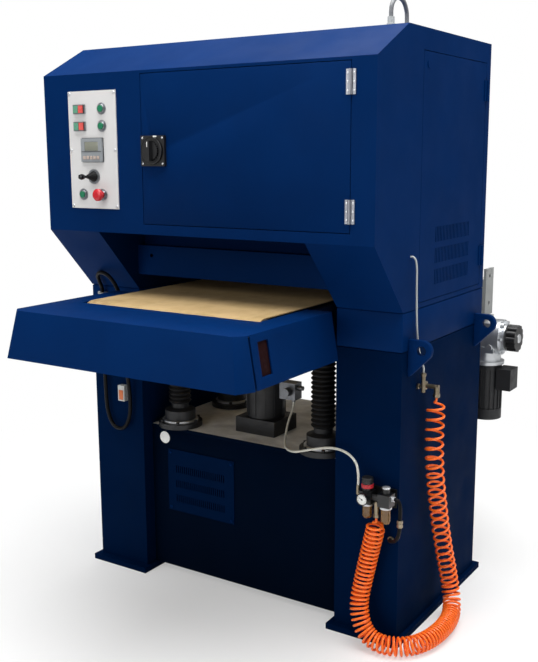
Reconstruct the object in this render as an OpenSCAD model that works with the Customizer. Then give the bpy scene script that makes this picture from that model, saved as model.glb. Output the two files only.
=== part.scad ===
// Wide-belt surface grinding machine with a rising conveyor table.
// Millimetres, +Z up. The machine stands on the floor with its front towards -Y.
// The sub-parts are drawn with y = 0 on the cabinet's front face, and placed() then
// brings the middle of the whole machine to the origin.

/* [Body] */
// Width over the two columns
body_w = 1252; // [1240:2:1290]
// Depth from the cabinet's front face to its back
body_d = 856; // [850:2:880]
// Height of the cabinet
cabinet_h = 616; // [610:1:625]
// Height of the sloping roof edge
brow_h = 102; // [98:1:106]
// How far the sloping roof edge and the columns stand back
set_back = 196; // [190:1:204]
// Thickness of the side walls
side_t = 8; // [6:0.5:10]
// Thickness of the front, roof and rear sheets
sheet_t = 6; // [4:0.5:8]

/* [Columns and base] */
// Width of one column
column_w = 225; // [215:1:230]
// Height of the columns below the spacer blocks
column_h = 946; // [940:1:952]
// Height of the spacer blocks
spacer_h = 124; // [120:1:128]
// Height of the upper body's legs
leg_h = 214; // [210:1:218]
// Wall of the columns and the upper body's legs
column_wall = 8; // [6:0.5:10]
// Depth and width of the shadow lines round the spacer blocks
seam = 3; // [2:0.5:4]
// Thickness of the foot plates
foot_t = 20; // [16:1:24]
// How far the foot plates reach past the columns to front and back
foot_out = 30; // [20:1:40]
// How far the foot plates reach past the columns to each side
foot_side = 15; // [8:1:20]
// Height of the base's top
base_top = 560; // [550:1:570]
// Thickness of the base's top plate
base_plate_t = 10; // [8:1:12]
// How far the base stands back from the columns' fronts
base_back = 50; // [40:1:60]
// Wall of the base box
base_wall = 5; // [4:0.5:8]

/* [Vent cover] */
// Width of the vent cover
vent_w = 295; // [280:1:310]
// Height of the vent cover
vent_h = 234; // [225:1:245]
// Sheet of the vent cover
vent_t = 3; // [2:0.5:4]
// Height of one slot
slot_h = 28; // [24:1:32]
// Width of one slot
slot_w = 4; // [3:0.5:5]
// Slots in a row
slot_count = 24; // [20:1:26]

/* [Doors] */
// Distance of the front door from the right edge of the cabinet
door_side = 79; // [76:1:84]
// Room for the control panel at the left of the front door
panel_room = 424; // [420:1:430]
// Sheet of the doors
door_t = 4; // [3:0.5:5]
// Depth of the doors' folded rims
rim = 18; // [14:1:22]
// Gap round the doors
door_gap = 2; // [1.5:0.5:3]
// Distance of the side door from the cabinet's front face
side_door_front = 302; // [298:1:306]
// Radius of the door hinge pins
pin_r = 3; // [2.5:0.5:4]
// Height of a door hinge
hinge_h = 68; // [60:1:76]

/* [Conveyor table] */
// Room between the conveyor belt and each column
belt_side = 66; // [62:1:72]
// Thickness of the conveyor belt
belt_t = 2.7; // [2:0.1:4]
// Radius of the conveyor rollers
roller_r = 52; // [48:1:54]
// Place of the front roller's axis before the cabinet's face
idler_out = 110; // [100:1:115]
// Place of the rear roller's axis behind the cabinet's back
drive_out = 304; // [298:1:310]
// Radius of the roller shafts
shaft_r = 15; // [12:0.5:18]
// Radial clearance of shafts and pins in their bores
run_fit = 0.05; // [0.02:0.01:0.08]
// Thickness of the table's side rails
rail_t = 20; // [16:1:24]
// Height of the side rails below the belt
rail_h = 174; // [168:1:180]
// Thickness of the table's covers
cover_t = 4; // [3:0.5:5]
// Depth of the table's front cover before the cabinet's face
cover_out = 372; // [360:2:385]
// How far the covers' upper edge stands out past the inner sides of the columns
cover_side = 29; // [24:1:34]
// How far the covers spread towards their lower edge
cover_flare = 25; // [18:1:30]
// Height of the covers
cover_h = 148; // [144:1:156]

/* [Lifting screws] */
// Radius of the lifting screws
screw_r = 20; // [16:0.5:24]
// Distance of the screws from the columns
screw_in = 99; // [96:1:106]
// Radius of the bellows
bellows_r = 42; // [40:1:46]
// Folds of one bellows
fold_count = 16; // [12:1:20]
// Radius of the jack flanges
jack_r = 80; // [74:1:84]
// Height of the jack housings
jack_h = 85; // [80:1:95]

/* [Grinding head] */
// Radius of the contact drum
drum_r = 85; // [80:1:88]
// Radius of the tension roller
tension_r = 60; // [55:1:65]
// Depth of the tension roller's axis below the roof
tension_drop = 210; // [204:1:216]
// How much narrower the abrasive belt is than the conveyor belt
abrasive_less = 60; // [56:2:70]
// Radius of the main motor
motor_r = 100; // [92:1:105]
// Length of the main motor
motor_l = 330; // [320:2:350]

/* [Lifting lugs] */
// Radius of the lugs' eyes
lug_r = 32; // [28:1:36]
// Radius of the holes in the lugs
lug_hole_r = 15; // [12:0.5:17]
// Thickness of the lugs
lug_t = 20; // [16:1:24]
// How far the hole stands out from the column
lug_out = 44; // [40:1:50]

/* [Controls] */
// Width of the control panel
panel_w = 209; // [205:1:215]
// Distance of the control panel from the cabinet's lower edge
panel_low = 78; // [74:1:84]
// Distance of the control panel from the sloping roof edge
panel_drop = 55; // [50:1:60]
// Thickness of the control panel
panel_t = 3; // [2:0.5:4]
// Radius of a round button
button_r = 11; // [10:0.5:12]
// Radius of a round button's bezel
bezel_r = 15; // [14.5:0.5:17]
// Radius of the emergency stop's mushroom head
stop_r = 20; // [18:0.5:22]
// Width of the isolator switch
isolator_w = 95; // [88:1:100]

/* [Feed drive] */
// Radius of the speed handwheel
wheel_r = 52; // [46:1:56]
// Scallops round the speed handwheel
lobe_count = 12; // [8:1:14]
// Radius of the feed motor
feed_motor_r = 62; // [56:1:66]
// Length of the feed motor
feed_motor_l = 215; // [200:1:230]

/* [Hoses and cables] */
// Radius of the coiled air hose's tube
hose_r = 4; // [3.5:0.1:4.2]
// Radius from the coil's middle to the tube's middle
coil_r = 27; // [25:0.5:28]
// Radius of the white air tube
air_tube_r = 4; // [3:0.5:5]
// Radius of the thin tube on the side
side_tube_r = 3; // [2.5:0.5:4]
// Radius of the black cable on the left column
cable_r = 7; // [6:0.5:8]
// Radius of the cable conduit on the roof
conduit_r = 6.5; // [5.5:0.5:8]

/* [Hidden] */

// Colours
paint = "#00275a";
steel = "#b9bcc0";
dark = "#1c1d20";
black = "#141416";
plate_grey = "#7f7d77";
orange = "#ff6428";

// Driving places that the sizes above give
over = 1;
half_w = body_w / 2;
bay_half = half_w - column_w;
inner_half = half_w - side_t;
head_z = column_h + spacer_h;
cabinet_z = head_z + leg_h;
body_h = cabinet_z + cabinet_h;
brow_z = body_h - brow_h;
base_front = set_back + base_back;
base_rear_in = 16;
base_rear = body_d - base_rear_in;
door_right = half_w - door_side;
door_left = -half_w + panel_room;
door_w = door_right - door_left;
door_sill_h = 34;
door_low = cabinet_z + door_sill_h;
door_head_gap = 11;
door_h = brow_z - door_head_gap - door_low;
side_door_rear_in = 37;
side_door_rear = body_d - side_door_rear_in;
side_door_l = side_door_rear - side_door_front;
side_door_sill_h = 15;
side_door_z = head_z + side_door_sill_h;
side_door_head_h = 64;
side_door_h = body_h - side_door_head_h - side_door_z;
brow_slope = norm([set_back, brow_h]) / brow_h;
leg_slope = norm([set_back, leg_h]) / leg_h;

// Table
belt_above_head = 4;
belt_top = head_z + belt_above_head;
belt_w = 2 * (bay_half - belt_side);
drive_y = body_d + drive_out;
belt_gap = 0.3;
loop_r = roller_r + belt_gap + belt_t;
roller_z = belt_top - loop_r;
bed_top = belt_top - belt_t - belt_gap;
bed_t = 16;
rail_z = belt_top - rail_h;
rail_gap = 10;
rail_in = belt_w / 2 + rail_gap;
rail_out = rail_in + rail_t;
rail_front = -idler_out - shaft_r * 3;
rail_tail = 65;
rail_rear = drive_y + rail_tail;
cover_below_belt = 4;
cover_top = belt_top - cover_below_belt;
cover_z = cover_top - cover_h;
cover_half = bay_half + cover_side;
rail_top = cover_top - cover_t;
cover_front = -cover_out;
cover_rear = 110;
cover_corner = 26;
groove_in = 34;
groove_y = cover_front + groove_in;
groove = 8;

// Middle of the machine between the front cover's lower edge and the rails' rear ends
origin_y = (cover_front - cover_flare + rail_rear) / 2;

// Screws
screw_x = bay_half - screw_in;
screw_front_in = 94;
screw_front_y = set_back + screw_front_in;
screw_rear_in = 236;
screw_rear_y = body_d - screw_rear_in;
screw_foot = 60;
screw_end = base_top - screw_foot;
beam_w = 50;
beam_h = 50;
neck_top = base_top + jack_h;
bellows_wall = 2;

// Head
head_in = 330;
head_y = body_d - head_in;
tension_z = body_h - tension_drop;
abrasive_w = belt_w - abrasive_less;
drum_gap = 48;
drum_z = belt_top + drum_gap + drum_r;
belt_fit = 0.3;
abrasive_t = 1.5;
drum_shaft_r = 25;
tension_shaft_r = 20;
frame_t = 24;
frame_x = -bay_half;
end_plate_in = 66;
end_plate_x = bay_half - end_plate_in;
end_plate_t = 20;
motor_in = 121;
motor_y = body_d - motor_in;
motor_up = 166;
motor_z = cabinet_z + motor_up;
pulley_r = 58;
pulley_w = 40;
pulley_out = 60;
pulley_x = -bay_half - pulley_out;
motor_shaft_r = 19;
v_belt_t = 9;

// Feed drive
gear_ahead = 35;
gear_y = drive_y - gear_ahead;
gear_drop = 231;
gear_z = belt_top - gear_drop;
gear_in = 107;
gear_x = half_w - gear_in;
gear_w = 81;
variator_w = 36;
gear_half = 58;

// Controls: the panel's corner and each device's place on it
panel_in = 112;
panel_x = -half_w + panel_in;
panel_z = cabinet_z + panel_low;
panel_h = brow_z - panel_drop - panel_z;
button_travel = 4;
key_w = 20;
key_h = 24;
key_housing_w = 50;
key_housing_h = 30;
bezel_out = 7;
cup_depth = 30;
slide_gap = 0.15;
upper_row_drop = 58;
upper_row = panel_z + panel_h - upper_row_drop;
row_step = 55;
middle_row = upper_row - row_step;
display_drop = 132;
display_row = upper_row - display_drop;
stick_up = 105;
stick_row = panel_z + stick_up;
lower_row_up = 46;
lower_row = panel_z + lower_row_up;
left_devices_in = 52;
left_devices = panel_x + left_devices_in;
right_devices_in = 148;
right_devices = panel_x + right_devices_in;
upper_button_at = [right_devices, upper_row];
middle_button_at = [right_devices, middle_row];
lower_button_in = 4;
lower_button_at = [left_devices + lower_button_in, lower_row];
stop_in = 6;
stop_at = [right_devices - stop_in, lower_row];
joystick_at = [panel_x + panel_w / 2 + 2, stick_row];
upper_keys_at = [left_devices, upper_row];
lower_keys_at = [left_devices, middle_row];
display_at = [panel_x + panel_w / 2, display_row];
isolator_in = 51;
isolator_up = 231;
isolator_at = [door_left + isolator_in, door_low + isolator_up];

// Air unit
unit_y = 158;
unit_drop = 454;
collar_h = 8;
tube_up = 4;
unit_z = column_h - unit_drop;
filter_in = 90;
filter_x = half_w - filter_in;
oiler_in = 26;
oiler_x = half_w - oiler_in;
unit_block = 40;

// Brings the machine's middle to the origin.
module placed() {
    translate([0, -origin_y, 0]) children();
}

// Draws its children on both sides of the middle plane.
module pair() {
    children();
    mirror([1, 0, 0]) children();
}

// Box from corner to corner.
module slab(x, y, z) {
    translate([x[0], y[0], z[0]]) cube([x[1] - x[0], y[1] - y[0], z[1] - z[0]]);
}

// Outline in (y, z), extruded along x.
module across(x, points) {
    translate([x[0], 0, 0]) rotate([90, 0, 90]) linear_extrude(x[1] - x[0]) polygon(points);
}

// Round bars along the three axes.
module rod_x(x, y, z, r) {
    translate([x[0], y, z]) rotate([0, 90, 0]) cylinder(h = x[1] - x[0], r = r, $fn = 48);
}
module rod_y(x, y, z, r) {
    translate([x, y[1], z]) rotate([90, 0, 0]) cylinder(h = y[1] - y[0], r = r, $fn = 48);
}
module rod_z(x, y, z, r) {
    translate([x, y, z[0]]) cylinder(h = z[1] - z[0], r = r, $fn = 48);
}

// Area inside a belt that runs round two circles.
module belt_area(a, ra, b, rb) {
    way = b - a;
    turn = atan2(way[1], way[0]);
    lean = acos((ra - rb) / norm(way));
    translate(a) circle(r = ra, $fn = 96);
    translate(b) circle(r = rb, $fn = 96);
    polygon([
        a + ra * [cos(turn + lean), sin(turn + lean)],
        a + ra * [cos(turn - lean), sin(turn - lean)],
        b + rb * [cos(turn - lean), sin(turn - lean)],
        b + rb * [cos(turn + lean), sin(turn + lean)]
    ]);
}

// Belt of thickness t that runs round two pulleys whose axes lie along x.
module belt_loop(x, a, ra, b, rb, t) {
    translate([x[0], 0, 0]) rotate([90, 0, 90]) linear_extrude(x[1] - x[0]) difference() {
        belt_area(a, ra + t, b, rb + t);
        belt_area(a, ra, b, rb);
    }
}

// Rows of upright slots, drawn in (x, z) and cut along y.
module slot_rows(width, count, rows, pitch, high, wide, y) {
    for (row = [0 : rows - 1], i = [0 : count - 1])
        slab([i * width / (count - 1) - wide / 2, i * width / (count - 1) + wide / 2], y,
            [row * pitch, row * pitch + high]);
}

// Base box between the columns, open at the top, with a vent opening in front.
module base_box() {
    color(paint) placed() difference() {
        slab([-bay_half, bay_half], [base_front, base_rear], [foot_t, base_top - base_plate_t]);
        slab([-bay_half + base_wall, bay_half - base_wall],
            [base_front + base_wall, base_rear - base_wall],
            [foot_t + base_wall, base_top]);
        slab([vent_x + vent_lip, vent_x + vent_w - vent_lip], [base_front - over, base_front + base_wall + over],
            [vent_z + vent_lip, vent_z + vent_h - vent_lip]);
    }
}

// Top plate of the base, with holes that the lifting screws pass through.
module base_top_plate() {
    color(plate_grey) placed() difference() {
        slab([-bay_half, bay_half], [base_front, base_rear], [base_top - base_plate_t, base_top]);
        each_screw() rod_z(0, 0, [base_top - base_plate_t - over, base_top + over], screw_r + screw_room);
    }
}

// Vent cover: three rows of upright slots and four corner screws.
screw_room = 6;
vent_in = 74;
vent_x = -bay_half + vent_in;
vent_drop = 317;
vent_z = base_top - vent_drop;
vent_lip = 12;
slot_span_share = 0.72;
slot_left_share = 0.13;
slot_low_share = 0.15;
vent_screw_r = 4;
module vent_cover() {
    color(paint) placed() {
        difference() {
            slab([vent_x, vent_x + vent_w], [base_front - vent_t, base_front], [vent_z, vent_z + vent_h]);
            translate([vent_x + vent_w * slot_left_share, 0, vent_z + vent_h * slot_low_share])
                slot_rows(vent_w * slot_span_share, slot_count, 3, slot_h * 2, slot_h, slot_w,
                    [base_front - vent_t - over, base_front + over]);
        }
        for (x = [vent_x + vent_lip, vent_x + vent_w - vent_lip], z = [vent_z + vent_lip, vent_z + vent_h - vent_lip])
            rod_y(x, [base_front - vent_t * 2, base_front - vent_t], z, vent_screw_r);
    }
}

// Hollow column on its foot plate, at the right of the machine.
module one_column() {
    difference() {
        slab([bay_half, half_w], [set_back, body_d], [foot_t, column_h]);
        slab([bay_half + column_wall, half_w - column_wall], [set_back + column_wall, body_d - column_wall],
            [foot_t + column_wall, column_h - column_wall]);
    }
    slab([bay_half - foot_side, half_w + foot_side], [set_back - foot_out, body_d + foot_out], [0, foot_t]);
}
module columns() {
    color(paint) placed() pair() one_column();
}

// Spacer blocks between the columns and the upper body, with a shadow line above and below.
module spacer_blocks() {
    color(paint) placed() pair() {
        slab([bay_half + seam, half_w - seam], [set_back + seam, body_d - seam], [column_h, head_z]);
        slab([bay_half, half_w], [set_back, body_d], [column_h + seam, head_z - seam]);
    }
}

// Outline of a side wall in (y, z): sloping brow above, sloping throat below.
wall_outline = [[set_back, head_z], [0, cabinet_z], [0, brow_z], [set_back, body_h], [body_d, body_h], [body_d, head_z]];
// Outlines of the upper body's leg, outside and inside its walls.
leg_outline = [[set_back, head_z], [0, cabinet_z], [body_d, cabinet_z], [body_d, head_z]];
function throat_y(z) = set_back * (cabinet_z - z) / leg_h;
module leg_inside(top) {
    low = head_z + column_wall;
    across([bay_half + column_wall, inner_half], [
        [throat_y(low) + column_wall * leg_slope, low],
        [throat_y(top) + column_wall * leg_slope, top],
        [body_d - column_wall, top],
        [body_d - column_wall, low]
    ]);
}

// Left wall and its leg. The leg is open at the top, where the drum's pulley and its belt run.
shaft_hole_room = 8;
shaft_hole_r = drum_shaft_r + shaft_hole_room;
module left_side_wall() {
    color(paint) placed() mirror([1, 0, 0]) difference() {
        union() {
            across([inner_half, half_w], wall_outline);
            across([bay_half, inner_half], leg_outline);
        }
        leg_inside(cabinet_z + over);
        rod_x([bay_half - over, bay_half + column_wall + over], head_y, drum_z, shaft_hole_r);
    }
}

// Right wall and its leg, with the opening through which the abrasive belt is changed.
pass_room = 20;
pass_half = drum_r + pass_room;
side_hinge_low = 102;
side_hinge_high = 92;
side_hinge_z = [side_door_z + side_hinge_low, side_door_z + side_door_h - side_hinge_high];
side_hinge_w = 20;
side_hinge_t = 4;
side_pin_x = half_w + pin_r * 2;
side_pin_y = side_door_rear + door_gap / 2;
module right_side_wall() {
    color(paint) placed() {
        difference() {
            union() {
                across([inner_half, half_w], wall_outline);
                across([bay_half, inner_half], leg_outline);
            }
            difference() {
                leg_inside(cabinet_z - column_wall);
                slab([bay_half, half_w - door_t - rim - door_gap], [head_y - pass_half - column_wall, head_y + pass_half + column_wall],
                    [head_z - over, cabinet_z + over]);
            }
            slab([bay_half - over, inner_half], [head_y - pass_half, head_y + pass_half], [head_z - over, cabinet_z + over]);
            slab([half_w - door_t - rim - door_gap, half_w + over], [side_door_front, side_door_rear],
                [side_door_z, side_door_z + side_door_h]);
        }
        for (z = side_hinge_z) {
            slab([half_w, half_w + side_hinge_t], [side_pin_y + pin_r * 2, side_pin_y + side_hinge_w],
                [z - hinge_h / 2, z + hinge_h / 2]);
            for (end = [z - hinge_h / 2, z + hinge_h / 4])
                difference() {
                    hinge_knuckle(side_pin_x, side_pin_y, [end, end + hinge_h / 4], half_w, side_pin_y + side_hinge_w);
                    rod_z(side_pin_x, side_pin_y, [end - over, end + hinge_h / 4 + over], pin_r);
                }
            rod_z(side_pin_x, side_pin_y, [z - hinge_h / 2, z + hinge_h / 2], pin_r);
        }
    }
}

// Knuckle round a hinge pin, joined to a face at x and reaching along y.
module hinge_knuckle(x, y, z, face, reach) {
    rod_z(x, y, z, pin_r * 2);
    slab([face, face + side_hinge_t], [min(y, reach), max(y, reach)], z);
}

// Front sheet with the door opening, folded back under the cabinet.
floor_room = 70;
floor_rear = set_back + floor_room;
fold = 25;
panel_margin = 14;
module front_frame() {
    color(paint) placed() difference() {
        union() {
            slab([-inner_half, inner_half], [0, sheet_t], [cabinet_z, brow_z]);
            slab([-inner_half, inner_half], [0, floor_rear], [cabinet_z, cabinet_z + sheet_t]);
            slab([door_left - door_gap - door_t, door_right + door_gap + door_t], [sheet_t, sheet_t + fold],
                [door_low - door_gap - door_t, door_low + door_h + door_gap + door_t]);
        }
        slab([door_left - door_gap, door_right + door_gap], [-over, sheet_t + fold + over],
            [door_low - door_gap, door_low + door_h + door_gap]);
        slab([panel_x + panel_margin, panel_x + panel_w - panel_margin], [-over, sheet_t + over],
            [panel_z + panel_margin, panel_z + panel_h - panel_margin]);
    }
}

// Folded roof: sloping brow, roof and rear sheet, which reaches down between the legs.
rear_low_up = 80;
rear_low = head_z + rear_low_up;
module roof_panel() {
    inner_y = sheet_t * brow_slope;
    color(paint) placed() {
        across([-inner_half, inner_half], [
            [0, brow_z],
            [set_back, body_h],
            [body_d, body_h],
            [body_d, cabinet_z],
            [body_d - sheet_t, cabinet_z],
            [body_d - sheet_t, body_h - sheet_t],
            [inner_y + (brow_h - sheet_t) * set_back / brow_h, body_h - sheet_t],
            [inner_y, brow_z]
        ]);
        slab([-bay_half, bay_half], [body_d - sheet_t, body_d], [rear_low, cabinet_z + over]);
    }
}

// Infeed apron between the legs: a joggled sheet under the cabinet.
apron_low_up = 52;
apron_low = head_z + apron_low_up;
apron_fold_h = 59;
apron_fold_z = cabinet_z - apron_fold_h;
apron_recess = 40;
apron_hole_r = 7;
apron_hole_in = 61;
apron_hole_up = 68;
apron_hole_z = apron_low + apron_hole_up;
module apron() {
    face = set_back;
    color(paint) placed() difference() {
        across([-bay_half, bay_half], [
            [face, apron_low],
            [face, apron_fold_z],
            [face + apron_recess, apron_fold_z],
            [face + apron_recess, cabinet_z],
            [face + apron_recess + sheet_t, cabinet_z],
            [face + apron_recess + sheet_t, apron_fold_z - sheet_t],
            [face + sheet_t, apron_fold_z - sheet_t],
            [face + sheet_t, apron_low]
        ]);
        rod_y(-bay_half + apron_hole_in, [face - over, face + sheet_t + over], apron_hole_z, apron_hole_r);
    }
}

// Lifting lugs: plates with a round eye that tapers down to the column.
front_lug_in = 49;
rear_lug_in = 61;
lug_y_list = [set_back + front_lug_in, body_d - rear_lug_in];
lug_up = 6;
lug_z = column_h + lug_up;
lug_foot_r = 12;
lug_drop = 72;
module one_lug() {
    translate([0, lug_t / 2, 0]) rotate([90, 0, 0]) linear_extrude(lug_t) difference() {
        union() {
            belt_area([half_w, lug_z - lug_drop], lug_foot_r, [half_w + lug_out, lug_z], lug_r);
            translate([half_w, lug_z - lug_drop]) square([lug_out, lug_drop + lug_r]);
        }
        translate([half_w + lug_out, lug_z]) circle(r = lug_hole_r, $fn = 48);
        translate([half_w - column_w, 0]) square([column_w, body_h]);
        lug_corner();
    }
}
// The wedge below the taper, which the square of the lug's root would fill.
module lug_corner() {
    foot = [half_w, lug_z - lug_drop];
    way = [lug_out, lug_drop];
    turn = atan2(way[1], way[0]);
    lean = acos((lug_foot_r - lug_r) / norm(way));
    a = foot + lug_foot_r * [cos(turn - lean), sin(turn - lean)];
    b = [half_w + lug_out, lug_z] + lug_r * [cos(turn - lean), sin(turn - lean)];
    polygon([a, b, [b[0] + lug_r, b[1] - lug_drop * 2], [a[0], a[1] - lug_drop]]);
}
module lifting_lugs() {
    color(paint) placed() pair() for (y = lug_y_list) translate([0, y, 0]) one_lug();
}

// Puts its children at each of the four lifting screws.
module each_screw() {
    for (x = [-screw_x, screw_x], y = [screw_front_y, screw_rear_y]) translate([x, y, 0]) children();
}

// Jack housings: flange, bright ring, body and neck, bored for the screw.
flange_t = 18;
ring_t = 8;
ring_out = 8;
body_share = 0.7;
neck_r = 32;
flange_bolt_r = 6;
flange_bolts = 6;
module jack_housings() {
    barrel_r = jack_r * body_share;
    color(dark) placed() each_screw() {
        difference() {
            rotate_extrude($fn = 64) polygon([
                [screw_r + run_fit, base_top],
                [jack_r, base_top],
                [jack_r, base_top + flange_t],
                [barrel_r + ring_out, base_top + flange_t],
                [barrel_r + ring_out, base_top + flange_t + ring_t],
                [barrel_r, base_top + flange_t + ring_t],
                [barrel_r, neck_top - ring_t * 3],
                [neck_r, neck_top - ring_t * 2],
                [neck_r, neck_top],
                [screw_r + run_fit, neck_top]
            ]);
        }
        for (i = [0 : flange_bolts - 1])
            rotate([0, 0, i * 360 / flange_bolts])
                rod_z(jack_r - flange_bolt_r * 1.6, 0, [base_top + flange_t, base_top + flange_t + ring_t], flange_bolt_r);
    }
}

// Bellows round the lifting screws, from the jacks' necks up to the table.
module screw_bellows() {
    fold_h = (rail_z - neck_top) / fold_count;
    root_r = bellows_r - fold_h * 0.55;
    outer = [for (i = [0 : fold_count - 1]) each [
        [root_r, neck_top + i * fold_h],
        [bellows_r, neck_top + (i + 0.5) * fold_h]
    ]];
    inner = [for (i = [fold_count - 1 : -1 : 0]) each [
        [bellows_r - bellows_wall, neck_top + (i + 0.5) * fold_h],
        [root_r - bellows_wall, neck_top + i * fold_h]
    ]];
    color(black) placed() each_screw() rotate_extrude($fn = 48)
        polygon(concat(outer, [[root_r, rail_z], [root_r - bellows_wall, rail_z]], inner));
}

// Lift motor with its gear case on the base's top.
lift_motor_in = 209;
lift_motor_at = [0, set_back + lift_motor_in];
lift_motor_r = 68;
lift_motor_h = 200;
lift_case_h = 55;
module lift_motor() {
    color(dark) placed() translate([lift_motor_at[0], lift_motor_at[1], base_top]) {
        slab([-lift_motor_r * 1.2, lift_motor_r * 1.2], [-lift_motor_r * 1.1, lift_motor_r * 1.1], [0, lift_case_h]);
        rod_z(0, 0, [lift_case_h, lift_motor_h], lift_motor_r);
        for (i = [0 : 11])
            rotate([0, 0, i * 30]) slab([lift_motor_r - seam, lift_motor_r + seam], [-seam / 2, seam / 2],
                [lift_case_h + seam * 3, lift_motor_h - seam * 3]);
    }
}

// Frame of the grinding head: side plate on the left leg, beam inside the belt, end plate.
beam_half = 40;
head_beam_up = 96;
head_beam_top = 236;
head_beam_z = [cabinet_z + head_beam_up, cabinet_z + head_beam_top];
end_plate_half = 50;
shoe_half = 145;
shoe_y_list = [head_y - shoe_half, head_y + shoe_half];
shoe_w = 24;
shoe_up = 116;
shoe_top = belt_top + shoe_up;
module head_frame() {
    color(steel) placed() {
        difference() {
            across([frame_x, frame_x + frame_t], [
                [head_y - drum_r, drum_z - drum_shaft_r * 2],
                [head_y + drum_r, drum_z - drum_shaft_r * 2],
                [motor_y + motor_r, motor_z - motor_r],
                [motor_y + motor_r, motor_z + motor_r],
                [head_y + drum_r, tension_z],
                [head_y + drum_r, tension_z + tension_r],
                [head_y - drum_r, tension_z + tension_r]
            ]);
            rod_x([frame_x - over, frame_x + frame_t + over], head_y, drum_z, drum_shaft_r + run_fit);
            rod_x([frame_x - over, frame_x + frame_t + over], head_y, tension_z, tension_shaft_r + run_fit);
            rod_x([frame_x - over, frame_x + frame_t + over], motor_y, motor_z, motor_shaft_r + seam);
        }
        slab([frame_x + frame_t, end_plate_x], [head_y - beam_half, head_y + beam_half], head_beam_z);
        difference() {
            slab([end_plate_x, end_plate_x + end_plate_t], [head_y - end_plate_half, head_y + end_plate_half],
                [drum_z - drum_shaft_r * 1.6, tension_z + tension_shaft_r * 1.6]);
            rod_x([end_plate_x - over, end_plate_x + end_plate_t + over], head_y, drum_z, drum_shaft_r + run_fit);
            rod_x([end_plate_x - over, end_plate_x + end_plate_t + over], head_y, tension_z, tension_shaft_r + run_fit);
        }
        for (y = shoe_y_list) {
            slab([-bay_half, bay_half], [y - shoe_w / 2, y + shoe_w / 2], [belt_top + drum_gap + shoe_w / 2, shoe_top]);
            rod_x([-abrasive_w / 2, abrasive_w / 2], y, belt_top + drum_gap + shoe_w / 2, shoe_w / 2);
        }
    }
}

// Main motor on the head's side plate, with cooling ribs and a terminal box.
rib_count = 24;
rib_h = 5;
rib_w = 3;
terminal = [90, 60, 45];
module main_motor() {
    start = frame_x + frame_t;
    color("#4a5568") placed() {
        rod_x([start, start + motor_l], motor_y, motor_z, motor_r - rib_h);
        rod_x([start, start + frame_t], motor_y, motor_z, motor_r);
        rod_x([start + motor_l, start + motor_l + frame_t * 2], motor_y, motor_z, motor_r);
        for (i = [0 : rib_count - 1])
            translate([0, motor_y, motor_z]) rotate([i * 360 / rib_count, 0, 0])
                slab([start + frame_t * 2, start + motor_l - frame_t], [motor_r - rib_h * 2, motor_r], [-rib_w / 2, rib_w / 2]);
        translate([start + motor_l / 2, motor_y, motor_z + motor_r - rib_h])
            slab([-terminal[0] / 2, terminal[0] / 2], [-terminal[1] / 2, terminal[1] / 2], [-rib_h, terminal[2]]);
    }
}

// Pulley with one V groove, turned about an axis along x.
module pulley(x, y, z, r, bore) {
    translate([x, y, z]) rotate([0, 90, 0]) rotate_extrude($fn = 96) polygon([
        [bore, 0],
        [r + v_belt_t, 0],
        [r + v_belt_t, pulley_w * 0.3],
        [r, pulley_w * 0.42],
        [r, pulley_w * 0.58],
        [r + v_belt_t, pulley_w * 0.7],
        [r + v_belt_t, pulley_w],
        [bore, pulley_w]
    ]);
}
module motor_pulley() {
    color(dark) placed() {
        pulley(pulley_x, motor_y, motor_z, pulley_r, motor_shaft_r);
        rod_x([pulley_x, frame_x + frame_t - run_fit], motor_y, motor_z, motor_shaft_r);
    }
}
module drive_belt() {
    mid = pulley_x + pulley_w / 2;
    half = pulley_w * 0.07;
    color(black) placed() belt_loop([mid - half, mid + half], [head_y, drum_z], pulley_r + belt_fit,
        [motor_y, motor_z], pulley_r + belt_fit, v_belt_t);
}

// Contact drum on its shaft, with its pulley inside the left leg.
shaft_end = 8;
module contact_drum() {
    color("#3a3a3c") placed() {
        rod_x([-abrasive_w / 2 - over, abrasive_w / 2 + over], head_y, drum_z, drum_r);
        rod_x([pulley_x, end_plate_x + end_plate_t + shaft_end], head_y, drum_z, drum_shaft_r);
        pulley(pulley_x, head_y, drum_z, pulley_r, drum_shaft_r);
    }
}
module tension_roller() {
    color(steel) placed() {
        rod_x([-abrasive_w / 2 - over, abrasive_w / 2 + over], head_y, tension_z, tension_r);
        rod_x([frame_x, end_plate_x + end_plate_t + shaft_end], head_y, tension_z, tension_shaft_r);
    }
}
module abrasive_belt() {
    color("#7a4a2c") placed() belt_loop([-abrasive_w / 2, abrasive_w / 2], [head_y, drum_z], drum_r + belt_fit,
        [head_y, tension_z], tension_r + belt_fit, abrasive_t);
}

// Electrics behind the front door: back plate, contactors, transformer, terminal rail and ducts.
electrics_in = 167;
electrics_right = door_right - electrics_in;
electrics_t = 4;
device_out = 70;
device_h = 76;
device_count = 6;
duct_h = 35;
duct_in = 20;
transformer_w = 100;
module electrics_plate() {
    device_pitch = (electrics_right - transformer_w * 1.4 - door_left) / (device_count + 1);
    device_w = device_pitch * 0.75;
    back = floor_rear - electrics_t;
    rows = [door_low + door_h * 0.25, door_low + door_h * 0.6];
    first = door_left + device_pitch;
    color("#c9cbc8") placed() {
        slab([-inner_half, electrics_right], [back, floor_rear], [cabinet_z + sheet_t, brow_z - fold]);
        for (z = rows, i = [0 : device_count - 1])
            slab([first + i * device_pitch, first + i * device_pitch + device_w], [back - device_out, back],
                [z - device_h / 2, z + device_h / 2]);
        for (z = rows)
            slab([door_left + duct_in, electrics_right - duct_in], [back - device_out / 2, back],
                [z + device_h * 0.7, z + device_h * 0.7 + duct_h]);
        slab([electrics_right - transformer_w * 1.4, electrics_right - transformer_w * 0.4], [back - transformer_w, back],
            [rows[0] - transformer_w / 2, rows[0] + transformer_w / 2]);
    }
}

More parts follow.
